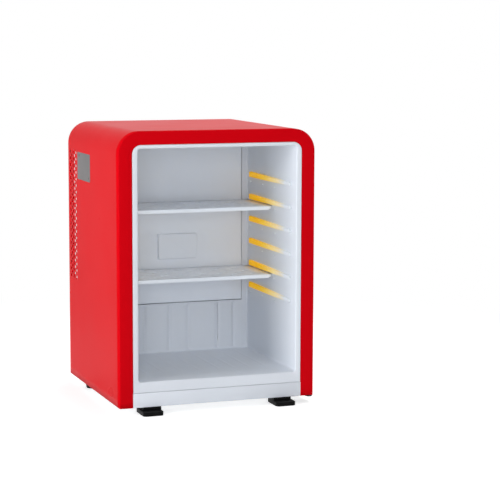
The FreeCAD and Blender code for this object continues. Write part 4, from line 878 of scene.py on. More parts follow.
def make_pegs():
    """Round pegs as one object: rings about X whose radius shrinks along the peg's reach."""
    turn = np.linspace(0, 2 * np.pi, PEG_SIDES, endpoint=False)[:, None]
    reach, radius = (PEG_SHARES * (PEG_REACH, PEG_RADIUS)).T
    rings = np.broadcast_arrays(reach, np.cos(turn) * radius, np.sin(turn) * radius)
    peg, faces = capped(np.stack(rings, axis=-1))
    rail_low, rail_high = span("right_rail_1")
    level_pitch = span("right_rail_2")[0][2] - rail_low[2]
    peg_pitch = (rail_high[1] - rail_low[1]) * PEG_PITCH_SHARE
    parts = []
    for side in (-1, 1):
        for level in range(SHELF_LEVELS):
            for column in range(PEGS_PER_RAIL):
                centre = np.array([side * INTERIOR_HALF, rail_high[1] - peg_pitch * column,
                                   rail_low[2] - PEG_DROP - PEG_RADIUS + level * level_pitch])
                parts.append((centre + peg * np.array([-side, 1, 1]), faces))
    add_surface("liner_pegs", parts, "liner_plastic")


for side in ("left", "right"):
    for number in range(1, SHELF_LEVELS + 1):
        make_rail(side, number)
make_pegs()

# %% [markdown]
# The shelves are thin moulded plates with small round holes, stiffened by a rim all round, one rib and a
# lip along the front. The plate is a punched grid whose front corners are cut: each row is as wide as the
# shelf is there, and each hole's edge is sunk a little. The rim is a small rounded section carried round the
# same outline.

# %% Shelves
SHELF_PLATE, SHELF_RIM, CORNER_CUT = 2.4, 3.0, 9.0
RIM_ROUND, PLATE_INSET = 1.1, 1.0
RIB_ROUND, RIB_SUNK = 0.3, 0.2
LIP_DROP, LIP_PROUD, LIP_THICK, LIP_BELOW, LIP_ROUND, LIP_RIM = 1.3, 0.15, 2.2, 0.1, 1.05, 0.2
HOLE_RADIUS, COUNTERSINK = 4.8, 0.3
HOLE_COLUMNS, HOLE_ROWS = 13, 5
HOLE_PITCH_SHARE, ROW_PITCH_SHARE = 0.2547, 0.322


def make_shelf_plate(node, low, high):
    """The punched plate, in which every second crossing of the holes' lines has a hole."""
    pitch, row_pitch = INTERIOR_HALF * HOLE_PITCH_SHARE, (high[1] - low[1]) * ROW_PITCH_SHARE
    first_row = low[1] + CORNER_CUT + SHELF_RIM + row_pitch / 4
    x_lines = np.concatenate([[-high[0] + PLATE_INSET], hole_lines(-pitch * 3, pitch / 2, HOLE_COLUMNS),
                              [high[0] - PLATE_INSET]])
    y_lines = np.concatenate([[low[1] + PLATE_INSET, low[1] + CORNER_CUT],
                              hole_lines(first_row, row_pitch / 2, HOLE_ROWS), [high[1] - PLATE_INSET]])
    x, y = np.meshgrid(x_lines, y_lines, indexing="ij")
    reach = (high[0] - CORNER_CUT + np.clip(y - low[1], 0, CORNER_CUT)) / high[0]
    points = np.stack([x * reach, y, np.full(x.shape, high[2])], axis=-1)
    column, row = np.meshgrid(np.arange(HOLE_COLUMNS), np.arange(HOLE_ROWS), indexing="ij")
    there = (column % 2) == (row % 2)
    column, row = 1 + SQUARE // 2 + SQUARE * column[there], 2 + SQUARE // 2 + SQUARE * row[there]
    points, faces = punched_grid(points, column, row, HOLE_RADIUS)
    points[-len(RING) * len(row):, 2] -= COUNTERSINK
    add_surface(f"{node}_plate", [(points, faces)], "shelf_plastic", [node], body=node, wall=SHELF_PLATE)


def shelf_outline(low, high, inset):
    """The six corners of a shelf, moved inwards; the cut corners keep their slope."""
    half, front, rear = high[0] - inset, low[1] + inset, high[1] - inset
    cut = CORNER_CUT - inset * (2 - math.sqrt(2))
    return np.array([(-half + cut, front), (half - cut, front), (half, front + cut), (half, rear),
                     (-half, rear), (-half, front + cut)])


def make_shelf_rim(node, low, high):
    """The rim's section carried round the outline, the rib and the front lip."""
    inset, drop = (RIM_ROUND * part for part in soft_edge(5))
    section = np.concatenate([np.column_stack([inset, low[2] + drop])[::-1],
                              np.column_stack([inset, high[2] - drop]),
                              [(SHELF_RIM, high[2]), (SHELF_RIM, low[2])]])
    rings = np.stack([shelf_outline(low, high, inward) for inward, _ in section], axis=1)
    heights = np.broadcast_to(section[:, 1], rings.shape[:2])[..., None]
    rim = np.concatenate([rings, heights], axis=-1)
    rim_faces = grid_faces(*rim.shape[:2], close_rows=True, close_columns=True)
    corners = box_corners(-SHELF_RIM / 2, SHELF_RIM / 2, low[1] + SHELF_RIM, high[1] - SHELF_RIM, RIB_ROUND)
    rib = slab(corners, "XY", low[2], high[2] - SHELF_PLATE + RIB_SUNK, RIB_ROUND)
    front, reach = low[1] - LIP_PROUD, high[0] - CORNER_CUT
    corners = box_corners(front, front + LIP_THICK, low[2] - LIP_DROP, high[2] - LIP_BELOW, LIP_ROUND)
    lip = slab(corners, "YZ", -reach, reach, LIP_RIM)
    add_surface(f"{node}_rim", [(rim, rim_faces), rib, lip], "shelf_plastic", [node], body=node)


for node in ("upper_shelf", "lower_shelf"):
    make_shelf_plate(node, *span(node))
    make_shelf_rim(node, *span(node))

# %% [markdown]
# On the rear wall stands the evaporator's cover, a shallow moulded box with soft edges, and a small lid
# stands on it. The photograph shows a dark line down the lid's left side, so the cover's face has a narrow
# groove round the lid, widest on the left. The face is a height field whose lines follow the groove.

# %% The evaporator cover and its lid
COVER_ROUND, COVER_WALL = 0.8, 2.0
GROOVE_BESIDE, GROOVE_OVER = (-2.3, 0.2), (-0.3, 0.3)
LID_GROOVE_DEPTH, LID_SLOT_DEPTH = 0.6, 2.6
LID_ROUND, LID_RIM, CREASE = 2.2, 0.9, 0.3
lid_low, lid_high = span("access_lid")


def crease_lines(low, high, count, groove, lid):
    """Even lines, a close pair at each edge of the groove, and one just inside each edge of the lid."""
    return np.unique(np.concatenate([np.linspace(low, high, count), groove, groove + CREASE, groove - CREASE,
                                     lid + (CREASE, -CREASE)]))


def make_cover():
    """Sides from the wall to the rounded front edge, then the face with its groove."""
    half, low, high, front = cover_high[0], cover_low[2], cover_high[2], cover_low[1]
    lid_x, lid_z = np.array([lid_low, lid_high]).T[[0, 2]]
    groove_x, groove_z = lid_x + GROOVE_BESIDE, lid_z + GROOVE_OVER
    flat_half, flat_low, flat_high = half - COVER_ROUND, low + COVER_ROUND, high - COVER_ROUND
    x_lines = crease_lines(-flat_half, flat_half, 30, groove_x, lid_x)
    z_lines = crease_lines(flat_low, flat_high, 34, groove_z, lid_z)
    shares = x_lines / flat_half, (z_lines - flat_low) / (flat_high - flat_low)
    leave, meet = soft_edge(6)
    insets = np.concatenate([[0.0, 0.0], COVER_ROUND * leave])
    depths = np.concatenate([[INTERIOR_REAR, (INTERIOR_REAR + front) / 2], front + COVER_ROUND * meet])
    outlines = [closed_outline(half - inset, low + inset, high - inset, COVER_ROUND - inset,
                               COVER_ROUND - inset, *shares) for inset in insets]
    sides = raise_outline(np.stack(outlines, axis=1), depths)
    x, z = np.meshgrid(x_lines, z_lines, indexing="ij")
    inside = ((x > groove_x[0] - CREASE / 2) & (x < groove_x[1] + CREASE / 2)
              & (z > groove_z[0] - CREASE / 2) & (z < groove_z[1] + CREASE / 2))
    sunk = np.where(x < lid_low[0] + CREASE / 2, LID_SLOT_DEPTH, LID_GROOVE_DEPTH)
    face = np.stack([x, front + sunk * inside, z], axis=-1)
    add_surface("moulded_evaporator_cover",
                [(sides, grid_faces(*sides.shape[:2], close_rows=True)), (face, grid_faces(*x.shape))],
                "cover_plastic", ["evaporator_cover"], wall=COVER_WALL)


def make_lid():
    """A flat plate with a soft rim, standing on the floor of the groove."""
    corners = box_corners(lid_low[0], lid_high[0], lid_low[2], lid_high[2], LID_ROUND)
    plate = slab(corners, "XZ", lid_low[1], lid_high[1] + LID_GROOVE_DEPTH, LID_RIM, NO_RIM)
    add_surface("moulded_access_lid", [plate], "cover_plastic", ["access_lid"])


make_cover()
make_lid()

# %% [markdown]
# Below the liner runs a separate pale strip, with its edges turned back, and a dark seam between the two.
# The seam is a real gap. On the left side there is a bare metal plate, left blank, held by two rivets. A
# rivet's head is turned: its profile is spun about an axis.

# %% The plinth and the bare plate
PLINTH_WALL, PLINTH_ROUND, FOLD_ROUND, PLINTH_RIM = 2.0, 0.9, 0.4, 0.3
PLATE_ROUND, PLATE_RIM = 1.5, 0.1
RIVET_RADIUS, RIVET_HEIGHT, RIVET_INSETS = 3.2, 0.35, (13.0, 7.0)
OVERLAP = 0.05


def turned(profile, centre, axis, steps=48):
    """A profile of (radius, reach) spun about an axis:  radius (cos a, sin a) across it, reach along it."""
    angle = np.linspace(0, 2 * np.pi, steps, endpoint=False)[:, None]
    radius, reach = np.asarray(profile, dtype=float).T
    first, second, along = {"X": (1, 2, 0), "Y": (2, 0, 1), "Z": (0, 1, 2)}[axis]
    points = np.empty((steps, len(radius), 3))
    points[..., first] = radius * np.cos(angle) + centre[first]
    points[..., second] = radius * np.sin(angle) + centre[second]
    points[..., along] = reach[None, :] + centre[along]
    return points, grid_faces(steps, len(radius), close_rows=True)


def quarter(radius_to, radius_from, reach_from, reach_to, steps=7):
    """A quarter ellipse in (radius, reach): leaves along the axis and arrives at right angles to it."""
    turn = np.linspace(0, np.pi / 2, steps)
    return np.column_stack([radius_to + (radius_from - radius_to) * np.cos(turn),
                            reach_from + (reach_to - reach_from) * np.sin(turn)])


def make_plinth():
    """The strip's section in Y and Z, pushed along X."""
    low, high = span("plinth")
    deep, top, wall, fold = high[1], high[2], PLINTH_WALL, FOLD_ROUND
    corners = [(0, 0, PLINTH_ROUND), (deep, 0, fold), (deep, wall, fold), (wall, wall, fold),
               (wall, top - wall, fold), (deep, top - wall, fold), (deep, top, fold), (0, top, PLINTH_ROUND)]
    strip = slab(corners, "YZ", low[0], high[0], PLINTH_RIM)
    add_surface("moulded_plinth", [strip], "trim_plastic", ["plinth"])


def make_bare_plate():
    """A thin plate with rounded corners and a rivet near two opposite corners."""
    low, high = span("rating_plate")
    face = low[0] + RIVET_HEIGHT
    corners = box_corners(low[1], high[1], low[2], high[2], PLATE_ROUND)
    plate = slab(corners, "YZ", face, high[0] + OVERLAP, PLATE_RIM)
    dome = np.vstack([[(0.0, high[0]), (RIVET_RADIUS, high[0])],
                      quarter(0.0, RIVET_RADIUS, face + OVERLAP, low[0])])
    inset_y, inset_z = RIVET_INSETS
    rivets = [turned(dome, (0, y, z), "X", 20) for y, z in ((high[1] - inset_y, high[2] - inset_z),
                                                            (low[1] + inset_y, low[2] + inset_z))]
    add_surface("bare_plate_rivets", rivets, "black_steel")
    add_surface("bare_side_plate", [plate], "bare_plate", ["rating_plate"])


make_plinth()
make_bare_plate()

# %% [markdown]
# The cabinet stands on two black moulded front feet, whose plates jut out in front, and two round rear
# feet. A front foot is stacked slabs: two runners and a heel on the floor, the plate on them, and the block
# that is screwed under the cabinet. The rear feet are turned. The hinge plate under the right leg is cut
# from steel sheet, and its round nose shows at the corner.

# %% The feet and the hinge plate
PLATE_LEVELS = (-14.4, -6.5)
RUNNER, RUNNER_SETBACK, BLOCK_INSET, REAR_CORNER = 8.0, 5, 4.0, 1.2
TREAD_SHARE, TREAD_ROUND = 0.8, 1.5
RING_CUT = [(0.6, -11.0), (0.2, -10.6), (0.3, -9.8), (1.0, -9.4)]
NOSE_WIDTH, NOSE_DEPTH = 13.0, 12.0
HINGE_NOSE, HINGE_ROUND, HINGE_INNER, HINGE_RIM = 6.0, 1.0, 1.5, 0.4


def make_front_foot(side, word):
    """Plate, runners, heel and block; side is -1 for the left foot.

    A block's numbers are its inner and outer side, front, bottom, top, front corners' radius and rim.
    """
    node = f"{word}_front_foot"
    low, high = span(node)
    inner, outer = sorted((abs(low[0]), abs(high[0])))
    front, rear, bottom = low[1], high[1], low[2]
    under, over = PLATE_LEVELS
    blocks = [(inner, outer, front, under - 0.5, over, 7.0, 1.1),
              (inner, inner + RUNNER, front + RUNNER_SETBACK, bottom, under, 1.5, 0.5),
              (outer - RUNNER, outer, front + RUNNER_SETBACK, bottom, under, 1.5, 0.5),
              (inner + RUNNER - 1, outer - RUNNER + 1, rear - RUNNER, bottom, under, 1.5, 0.5),
              (inner, outer - BLOCK_INSET, 0.0, over - 1, 0.0, 2.0, 0.8)]
    parts = []
    for near, far, start, base, top, radius, rim in blocks:
        left, right = sorted((near * side, far * side))
        corners = [(left, start, radius), (right, start, radius), (right, rear, REAR_CORNER),
                   (left, rear, REAR_CORNER)]
        parts.append(slab(corners, "XY", base, top, rim, steps=9))
    add_surface(f"moulded_{word}_foot", parts, "black_plastic", [node])


def make_rear_feet():
    """Two tapered feet with a rounded tread and a shallow ring cut above it."""
    low, high = span("rear_feet")
    radius = (high[1] - low[1]) / 2
    tip = radius * TREAD_SHARE
    tread = quarter(tip - TREAD_ROUND, tip, low[2] + TREAD_ROUND, low[2])[::-1]
    profile = np.vstack([[(0, low[2])], tread, np.array(RING_CUT) + (tip, 0),
                         [(radius - 0.3, -0.6), (radius - 0.6, 0.0), (0, 0.0)]])
    places = [(side * (high[0] - radius), middle("rear_feet")[1], 0) for side in (-1, 1)]
    add_surface("turned_rear_feet", [turned(profile, place, "Z") for place in places], "black_plastic",
                ["rear_feet"])


def make_hinge_plate():
    """The steel plate under the right leg, with its round nose at the corner."""
    low, high = span("lower_hinge_plate")
    left, right, rear = low[0], high[0], high[1]
    nose = right - NOSE_WIDTH
    corners = [(nose, 0, HINGE_NOSE), (right, 0, HINGE_NOSE), (right, rear, HINGE_ROUND),
               (left, rear, HINGE_ROUND), (left, NOSE_DEPTH, HINGE_ROUND), (nose, NOSE_DEPTH, HINGE_INNER)]
    plate = slab(corners, "XY", low[2], high[2], HINGE_RIM, steps=9)
    add_surface("lower_hinge_steel", [plate], "black_steel", ["lower_hinge_plate"])


make_front_foot(-1, "left")
make_front_foot(1, "right")
make_rear_feet()
make_hinge_plate()

# %% [markdown]
# The cooling unit has no motor: heat in the boiler drives the circuit, so it is all welded tube and two
# drums. A tube is a circle carried along a path. At each path point the circle stands square to the path's
# direction T, on two ways N and B: a point is  path + radius (cos a x N + sin a x B).  N comes from a
# sideways vector given with the path, less its part along T, and B is T x N. A bend gives its plane's
# normal as that vector, and a straight run turns it slowly from one bend's to the next's.

# %% Tools for tubes
RIGHT, LEFT = np.array([1.0, 0, 0]), np.array([-1.0, 0, 0])
REARWARD, FORWARD = np.array([0, 1.0, 0]), np.array([0, -1.0, 0])
UPWARD, DOWNWARD = np.array([0, 0, 1.0]), np.array([0, 0, -1.0])
WELD_WIDTH, WELD_HEIGHT, WELD_SIDES = 2.4, 1.1, 32


class Route:
    """A path of runs and bends: points, and a sideways vector at each of them."""

    def __init__(self, start, aside):
        self.points = np.array([start], dtype=float)
        self.aside = np.array([aside], dtype=float)

    def run(self, end, aside=None, steps=10):
        """A straight run to a point, on which the sideways vector turns to a new one."""
        share = np.linspace(0, 1, steps + 1)[1:, None]
        start, first = self.points[-1], self.aside[-1]
        last = first if aside is None else aside
        self.points = np.vstack([self.points, start + share * (np.asarray(end, dtype=float) - start)])
        self.aside = np.vstack([self.aside, first + share * (last - first)])

    def bend(self, heading, towards, radius, angle=90.0, steps=12):
        """An arc:  centre - radius cos a x towards + radius sin a x heading."""
        swing = np.radians(np.linspace(0, angle, steps + 1))[1:, None]
        centre = self.points[-1] + towards * radius
        arc = centre - towards * radius * np.cos(swing) + heading * radius * np.sin(swing)
        self.points = np.vstack([self.points, arc])
        self.aside = np.vstack([self.aside, np.tile(np.cross(heading, towards), (steps, 1))])


def tube(route, radius, sides=24):
    """A round tube along a route, closed by flat ends."""
    ways = np.gradient(route.points, axis=0)
    ways /= np.linalg.norm(ways, axis=1, keepdims=True)
    normals = route.aside - (route.aside * ways).sum(axis=1, keepdims=True) * ways
    normals /= np.linalg.norm(normals, axis=1, keepdims=True)
    others = np.cross(ways, normals)
    angle = np.linspace(0, 2 * np.pi, sides, endpoint=False)[:, None, None]
    return capped(route.points + radius * (np.cos(angle) * normals + np.sin(angle) * others))


def weld(route, radius, end):
    """A weld bead: a small half-round ring about the first or the last point of a route."""
    place, ahead = route.points[end], route.points[1 if end == 0 else end - 1]
    axis = "XYZ"[int(np.abs(ahead - place).argmax())]
    turn = np.linspace(0, np.pi, 7)
    bead = np.column_stack([radius - 0.3 + WELD_HEIGHT * np.sin(turn), -WELD_WIDTH / 2 * np.cos(turn)])
    ring = np.vstack([bead, [(radius - 1.0, WELD_WIDTH / 2), (radius - 1.0, -WELD_WIDTH / 2)]])
    points, _ = turned(ring, place, axis, WELD_SIDES)
    return points, grid_faces(WELD_SIDES, len(ring), close_rows=True, close_columns=True)


# %% [markdown]
# Boiler, condenser, return pipe, absorber vessel and heat exchanger. The drums are turned profiles with
# dished ends and a rolled bead, and every tube ends in a weld on the plate or drum that it meets.

# %% The cooling unit's drums and plain tubes
boiler_low, boiler_high = span("boiler_can")
BOILER_X, BOILER_RADIUS = middle("boiler_can")[0], (boiler_high[0] - boiler_low[0]) / 2
FINS_END, CONDENSER_HEIGHT = span("condenser_fins")[1][0], middle("condenser_fins")[2]
vessel_low, vessel_high = span("absorber_vessel")
VESSEL_HEIGHT, VESSEL_RADIUS = middle("absorber_vessel")[2], (vessel_high[2] - vessel_low[2]) / 2
UNIT_FACE = BAY_FRONT + SHEET
DRUM_SIDES = 64
FOOT_ROUND, DISH_WIDTH, DISH_START, DISH_END, CROWN_SHARE = 1.5, 9, 7, 1.2, 0.35
ROLL_DEPTH, ROLL_ABOVE_FOOT, ROLL_BELOW_TOP = 0.35, 12, 24
STRAP_GAP = 0.3
DOME, SEAM_HEIGHT, SEAM_HALF, SEAM_INSET = 9.0, 0.45, 1.3, 3
PIPE_RADIUS, PIPE_BEND = 8.0, 22.0
GAS_PIPE_RADIUS, GAS_PIPE_START = 9.0, 96.0
GAS_PIPE_HEIGHT, GAS_PIPE_X = CASE_HEIGHT - 135.0, HALF_WIDTH - 39.0
EXCHANGER_RADIUS, EXCHANGER_HEIGHT = 8.5, VESSEL_HEIGHT - 9.0


def make_boiler():
    """Can with a rounded foot, two rolled beads and a dished top."""
    radius, low, high = BOILER_RADIUS, boiler_low[2], boiler_high[2]
    bead = np.linspace(0, 2 * np.pi, 9)
    roll = np.column_stack([radius - ROLL_DEPTH * (1 - np.cos(bead)), bead])
    foot = quarter(radius - FOOT_ROUND, radius, low + FOOT_ROUND, low)[-2::-1]
    dish = quarter(radius - DISH_WIDTH, radius, high - DISH_START, high - DISH_END)
    profile = np.vstack([[(0, low), (radius - FOOT_ROUND, low)], foot, roll + (0, low + ROLL_ABOVE_FOOT),
                         roll + (0, high - ROLL_BELOW_TOP), dish, [(radius * CROWN_SHARE, high), (0, high)]])
    drum = turned(profile, (BOILER_X, BAY_MIDDLE, 0), "Z", DRUM_SIDES)
    add_surface("boiler_drum", [drum], "galvanised_steel", ["boiler_can"])


def make_strap():
    """The strap's band in X and Y: outer line and inner line, with a lug on each side, pushed up."""
    low, high = span("boiler_strap")
    inner, outer, lug = BOILER_RADIUS + STRAP_GAP, BOILER_RADIUS + STRAP_GAP + SHEET, high[0] - BOILER_X
    turn = np.linspace(0, np.pi, 33)
    around = np.column_stack([np.cos(turn), np.sin(turn)])
    centre = np.array([BOILER_X, BAY_MIDDLE])
    lugs = np.array([(inner, BAY_FRONT), (lug, BAY_FRONT), (lug, UNIT_FACE), (outer, UNIT_FACE)])
    line = np.vstack([(BOILER_X, 0) + lugs, centre + outer * around, (BOILER_X, 0) + lugs[::-1] * (-1, 1),
                      centre + inner * around[::-1]])
    corners = np.column_stack([line, np.zeros(len(line))])
    band = slab(corners, "XY", low[2], high[2], 0.0, steps=2, rim_steps=2)
    add_surface("boiler_band", [band], "screw_steel", ["boiler_strap"])


def make_plain_tubes():
    """Condenser, return pipe and heat exchanger, each with its welds."""
    condenser = Route((BOILER_X, BAY_MIDDLE, boiler_high[2] - 1), REARWARD)
    condenser.run((BOILER_X, BAY_MIDDLE, CONDENSER_HEIGHT - PIPE_BEND))
    condenser.bend(UPWARD, RIGHT, PIPE_BEND)
    condenser.run((FINS_END, BAY_MIDDLE, CONDENSER_HEIGHT), DOWNWARD, 24)
    condenser.bend(RIGHT, FORWARD, PIPE_BEND)
    condenser.run((FINS_END + PIPE_BEND, UNIT_FACE, CONDENSER_HEIGHT))
    gas = Route((GAS_PIPE_START, UNIT_FACE, GAS_PIPE_HEIGHT), DOWNWARD)
    gas.run((GAS_PIPE_START, BAY_MIDDLE - PIPE_BEND, GAS_PIPE_HEIGHT))
    gas.bend(REARWARD, RIGHT, PIPE_BEND)
    gas.run((GAS_PIPE_X - PIPE_BEND, BAY_MIDDLE, GAS_PIPE_HEIGHT), REARWARD, 16)
    gas.bend(RIGHT, DOWNWARD, PIPE_BEND)
    gas.run((GAS_PIPE_X, BAY_MIDDLE, VESSEL_HEIGHT + VESSEL_RADIUS - 3))
    exchanger = Route((vessel_low[0] + 1, BAY_MIDDLE, EXCHANGER_HEIGHT), REARWARD)
    exchanger.run((BOILER_X + PIPE_BEND, BAY_MIDDLE, EXCHANGER_HEIGHT))
    exchanger.bend(LEFT, UPWARD, PIPE_BEND)
    exchanger.run((BOILER_X, BAY_MIDDLE, boiler_low[2] + 1))
    for name, node, route, radius in (
            ("condenser_tube", "condenser_pipe", condenser, PIPE_RADIUS),
            ("gas_return_tube", "gas_return_pipe", gas, GAS_PIPE_RADIUS),
            ("heat_exchanger_tube", "liquid_heat_exchanger", exchanger, EXCHANGER_RADIUS)):
        parts = [tube(route, radius), weld(route, radius, 0), weld(route, radius, -1)]
        add_surface(name, parts, "black_steel", [node])


def make_vessel():
    """The lying drum: half an ellipse at each end, and a seam's bump just inside each."""
    radius, left, right = VESSEL_RADIUS, vessel_low[0], vessel_high[0]
    swing = np.linspace(0, np.pi / 2, 14)
    dome = np.column_stack([radius * np.sin(swing), DOME * (1 - np.cos(swing))])
    turn = np.linspace(0, np.pi, 7)
    seam = np.column_stack([SEAM_HEIGHT * np.sin(turn) + radius, -SEAM_HALF * np.cos(turn)])
    profile = np.vstack([dome + (0, left), seam + (0, left + DOME + SEAM_INSET),
                         seam + (0, right - DOME - SEAM_INSET), dome[::-1] * (1, -1) + (0, right)])
    drum = turned(profile, (0, BAY_MIDDLE, VESSEL_HEIGHT), "X", DRUM_SIDES)
    add_surface("absorber_drum", [drum], "black_steel", ["absorber_vessel"])


make_boiler()
make_strap()
make_plain_tubes()
make_vessel()

# %% [markdown]
# The absorber coil is the hardest form here. It is a coil squashed flat, so that it climbs in two rows of
# level runs, and each end of a run turns into the other row by a half circle that is tilted. A half circle
# of radius r tilted by an angle carries the tube 2 r cos(angle) across to the other row and climbs
# 2 r sin(angle), and it leaves level, so every join is smooth.

# %% The absorber coil
COIL_RADIUS = 6.5
COIL_BEND, COIL_END_BEND = CASE_HEIGHT * 0.03364, 16.0
COIL_TILT = math.radians(45)
COIL_HALF_TURNS = 7
COIL_RIGHT = HALF_WIDTH - 96.0
COIL_LEFT = span("absorber_coil")[0][0] + COIL_BEND + COIL_RADIUS
COIL_LOW = VESSEL_HEIGHT + 65.0


def make_coil():
    """Down-pipe, seven tilted half turns between level runs, and the end that goes into the unit plate."""
    front_row = BAY_MIDDLE - COIL_BEND * math.cos(COIL_TILT)
    route = Route((COIL_RIGHT, front_row, VESSEL_HEIGHT + VESSEL_RADIUS - 6), np.cross(UPWARD, LEFT))
    route.run((COIL_RIGHT, front_row, COIL_LOW - COIL_END_BEND))
    route.bend(UPWARD, LEFT, COIL_END_BEND)
    for number in range(COIL_HALF_TURNS):
        heading, stop, side = (RIGHT, COIL_RIGHT, -1) if number % 2 else (LEFT, COIL_LEFT, 1)
        towards = np.array([0, side * math.cos(COIL_TILT), math.sin(COIL_TILT)])
        route.run((stop, *route.points[-1][1:]), np.cross(heading, towards), 16)
        route.bend(heading, towards, COIL_BEND, 180, 20)
    route.run((COIL_RIGHT, *route.points[-1][1:]), np.cross(RIGHT, FORWARD), 16)
    route.bend(RIGHT, FORWARD, COIL_END_BEND)
    route.run((route.points[-1][0], UNIT_FACE, route.points[-1][2]))
    length = np.linalg.norm(np.diff(route.points, axis=0), axis=1).sum()
    print("coil length:", round(float(length)), "mm")
    parts = [tube(route, COIL_RADIUS), weld(route, COIL_RADIUS, -1)]
    add_surface("absorber_coil_tube", parts, "black_steel", ["absorber_coil"])


make_coil()

# %% [markdown]
# The rest of the rear: hexagon screws on the unit plate, the drain tube with its cup, the thermostat's knob
# with its pointer, and the control box's screws. The cup is an outline swept over its own section: up the
# outside, over the rim, down the inside. The strokes of the knob's scale are raised on the box, so that the
# scale stays while the knob and its pointer turn.

# %% Screws, drain, cup, knob and scale
SCREW_HEAD_RADIUS, SCREW_HEAD_HEIGHT, SCREW_RIM = 4.5, 2.5, 0.6
HEXAGON_SHARE, HEXAGON_ROUND = 0.866, 0.7
DRAIN_RADIUS, DRAIN_BEND = 4.7, 8.0
CUP_WALL, CUP_FOOT_ROUND, CUP_CORNER, CUP_RIM_DEPTH = 1.6, 1.2, 4.0, 2
KNOB_SIDES, KNOB_FLUTES, FLUTE_SHRINK, FLUTE_REACH = 144, 24, 0.025, 2.2
KNOB_FLANK, KNOB_REAR_ROUND, KNOB_FACE_ROUND, KNOB_SUNK = 9.0, 1.0, 2.0, 0.5
GRIP_HALF, GRIP_HEIGHT, GRIP_SHARE, GRIP_ROUND, GRIP_RIM = 2.5, 3.0, 0.75, 2.2, 1.0
SHAFT_HALF, SHAFT_ROUND, SHAFT_RIM = 2.1, 2.0, 0.3
POINTER_HALF, POINTER_ROUND, POINTER_SUNK, POINTER_RISE, POINTER_RIM = 0.5, 0.4, 0.1, 0.15, 0.05
SCALE_TICKS, SCALE_SWING = 7, 130
SCALE_INNER, SCALE_OUTER, SCALE_HALF, STROKE_ROUND = 14.6, 17.4, 0.55, 0.3
STROKE_SUNK, STROKE_RISE, STROKE_RIM = 0.2, 0.25, 0.08
COVER_SCREW_RADIUS, COVER_SCREW_INSET = 3.0, 5.5


def make_screws():
    """Hexagon heads with a round-edged top, on the unit plate's four corners."""
    low, high = span("unit_screws")
    turn = np.linspace(0, 2 * np.pi, 6, endpoint=False)
    hexagon = SCREW_HEAD_RADIUS * np.column_stack([np.cos(turn), np.sin(turn)])
    inset_x, inset_z = SCREW_HEAD_RADIUS, SCREW_HEAD_RADIUS * HEXAGON_SHARE
    heads = []
    for x in (low[0] + inset_x, high[0] - inset_x):
        for z in (low[2] + inset_z, high[2] - inset_z):
            corners = np.column_stack([(x, z) + hexagon, np.full(6, HEXAGON_ROUND)])
            heads.append(slab(corners, "XZ", UNIT_FACE, UNIT_FACE + SCREW_HEAD_HEIGHT, NO_RIM, SCREW_RIM))
    add_surface("hexagon_screws", heads, "screw_steel", ["unit_screws"])


def make_drain():
    """The drain tube, from behind the evaporator cover down to just above the cup."""
    low, high = span("drain_tube")
    x, height = middle("drain_tube")[0], high[2] - DRAIN_RADIUS
    route = Route((x, low[1], height), np.cross(REARWARD, DOWNWARD))
    route.run((x, high[1] - DRAIN_RADIUS - DRAIN_BEND, height))
    route.bend(REARWARD, DOWNWARD, DRAIN_BEND)
    route.run((*route.points[-1][:2], low[2]), steps=3)
    add_surface("drain_hose", [tube(route, DRAIN_RADIUS, 20)], "shelf_plastic", ["drain_tube"])


def make_cup():
    """Outline x section: outside, rim and inside, closed by the two floors."""
    low, high = span("drip_cup")
    centres, ways, radii = polygon_outline(box_corners(low[0], high[0], low[1], high[1], CUP_CORNER), 7)
    leave, meet = soft_edge(4)
    over = np.linspace(0, np.pi, 7)
    insets = np.concatenate([CUP_FOOT_ROUND * meet, CUP_WALL / 2 * (1 - np.cos(over)),
                             [CUP_WALL, CUP_WALL]])
    heights = np.concatenate([low[2] + CUP_FOOT_ROUND * leave, high[2] - CUP_WALL / 2 * (1 - np.sin(over)),
                              [high[2] - CUP_RIM_DEPTH, low[2] + CUP_WALL]])
    flat = centres[:, None] + (radii[:, None] - insets)[..., None] * ways[:, None]
    points = np.concatenate([flat, np.broadcast_to(heights, flat.shape[:2])[..., None]], axis=-1)
    add_surface("drip_tray", [capped(points)], "black_plastic", ["drip_cup"])


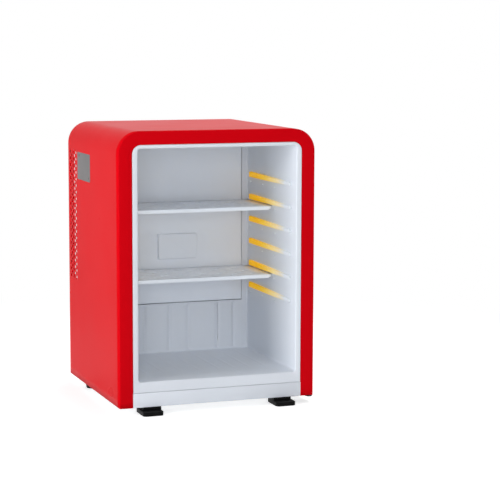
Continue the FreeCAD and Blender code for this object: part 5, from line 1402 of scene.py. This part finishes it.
def make_knob():
    """A dial with a fluted edge,  radius x (1 - depth x (1 - cos(flutes x angle))),  a grip and a shaft."""
    low, high = span("thermostat_knob")
    x, _, z = middle("thermostat_knob")
    radius, face = (high[0] - low[0]) / 2, high[1] - GRIP_HEIGHT
    back, inner = face - KNOB_FLANK, radius - KNOB_REAR_ROUND
    rear = quarter(inner, radius, back + KNOB_REAR_ROUND, back)[-2::-1]
    front = quarter(radius - KNOB_FACE_ROUND, radius, face - KNOB_FACE_ROUND, face)
    profile = np.vstack([[(0, back), (inner, back)], rear, front, [(0, face)]])
    dial, faces = turned(profile, (x, 0, z), "Y", KNOB_SIDES)
    angle = np.linspace(0, 2 * np.pi, KNOB_SIDES, endpoint=False)[:, None]
    near_edge = np.clip((profile[:, 0] - radius + FLUTE_REACH) / FLUTE_REACH, 0, 1)
    shrink = 1 - FLUTE_SHRINK * (1 - np.cos(KNOB_FLUTES * angle)) * near_edge
    dial[..., 0] = x + (dial[..., 0] - x) * shrink
    dial[..., 2] = z + (dial[..., 2] - z) * shrink
    half = radius * GRIP_SHARE
    corners = box_corners(x - GRIP_HALF, x + GRIP_HALF, z - half, z + half, GRIP_ROUND)
    grip = slab(corners, "XZ", face - KNOB_SUNK, high[1], NO_RIM, GRIP_RIM)
    corners = box_corners(x - SHAFT_HALF, x + SHAFT_HALF, z - SHAFT_HALF, z + SHAFT_HALF, SHAFT_ROUND)
    shaft = slab(corners, "XZ", low[1], back + KNOB_SUNK, SHAFT_RIM, steps=7)
    corners = box_corners(x - POINTER_HALF, x + POINTER_HALF, z + 2, z + half - 1.5, POINTER_ROUND)
    pointer = slab(corners, "XZ", high[1] - POINTER_SUNK, high[1] + POINTER_RISE, NO_RIM, POINTER_RIM)
    add_surface("dial_pointer", [pointer], "trim_plastic", body="thermostat_knob")
    add_surface("thermostat_dial", [(dial, faces), grip, shaft], "black_plastic", ["thermostat_knob"],
                body="thermostat_knob")


def make_scale():
    """Raised strokes round the dial, each a small rectangle turned about the dial's centre."""
    centre = middle("thermostat_knob")[[0, 2]]
    face = span("control_cover")[1][1]
    strokes = []
    for angle in np.radians(np.linspace(-SCALE_SWING, SCALE_SWING, SCALE_TICKS)):
        outward = np.array([math.sin(angle), math.cos(angle)])
        sideways = np.array([math.cos(angle), -math.sin(angle)])
        corners = [(*(centre + side * sideways + reach * outward), radius) for side, reach, radius
                   in box_corners(-SCALE_HALF, SCALE_HALF, SCALE_INNER, SCALE_OUTER, STROKE_ROUND)]
        strokes.append(slab(corners, "XZ", face - STROKE_SUNK, face + STROKE_RISE, NO_RIM, STROKE_RIM))
    add_surface("dial_scale", strokes, "trim_plastic")


def make_cover_screws():
    """Round-headed screws with a round socket, at three corners of the control box's cover."""
    low, high = span("control_cover")
    radius, inset, face = COVER_SCREW_RADIUS, COVER_SCREW_INSET, high[1]
    head = np.vstack([[(0, face - 0.3), (radius, face - 0.3)],
                      quarter(radius * 0.55, radius, face + 0.1, face + 1.5),
                      [(radius * 0.5, face + 1.5), (radius * 0.42, face + 0.8), (0, face + 0.8)]])
    left, right, bottom, top = low[0] + inset, high[0] - inset, low[2] + inset, high[2] - inset
    heads = [turned(head, (x, 0, z), "Y", 24) for x, z in ((left, bottom), (left, top), (right, top))]
    add_surface("cover_screws", heads, "screw_steel")


for make in (make_screws, make_drain, make_cup, make_knob, make_scale, make_cover_screws):
    make()
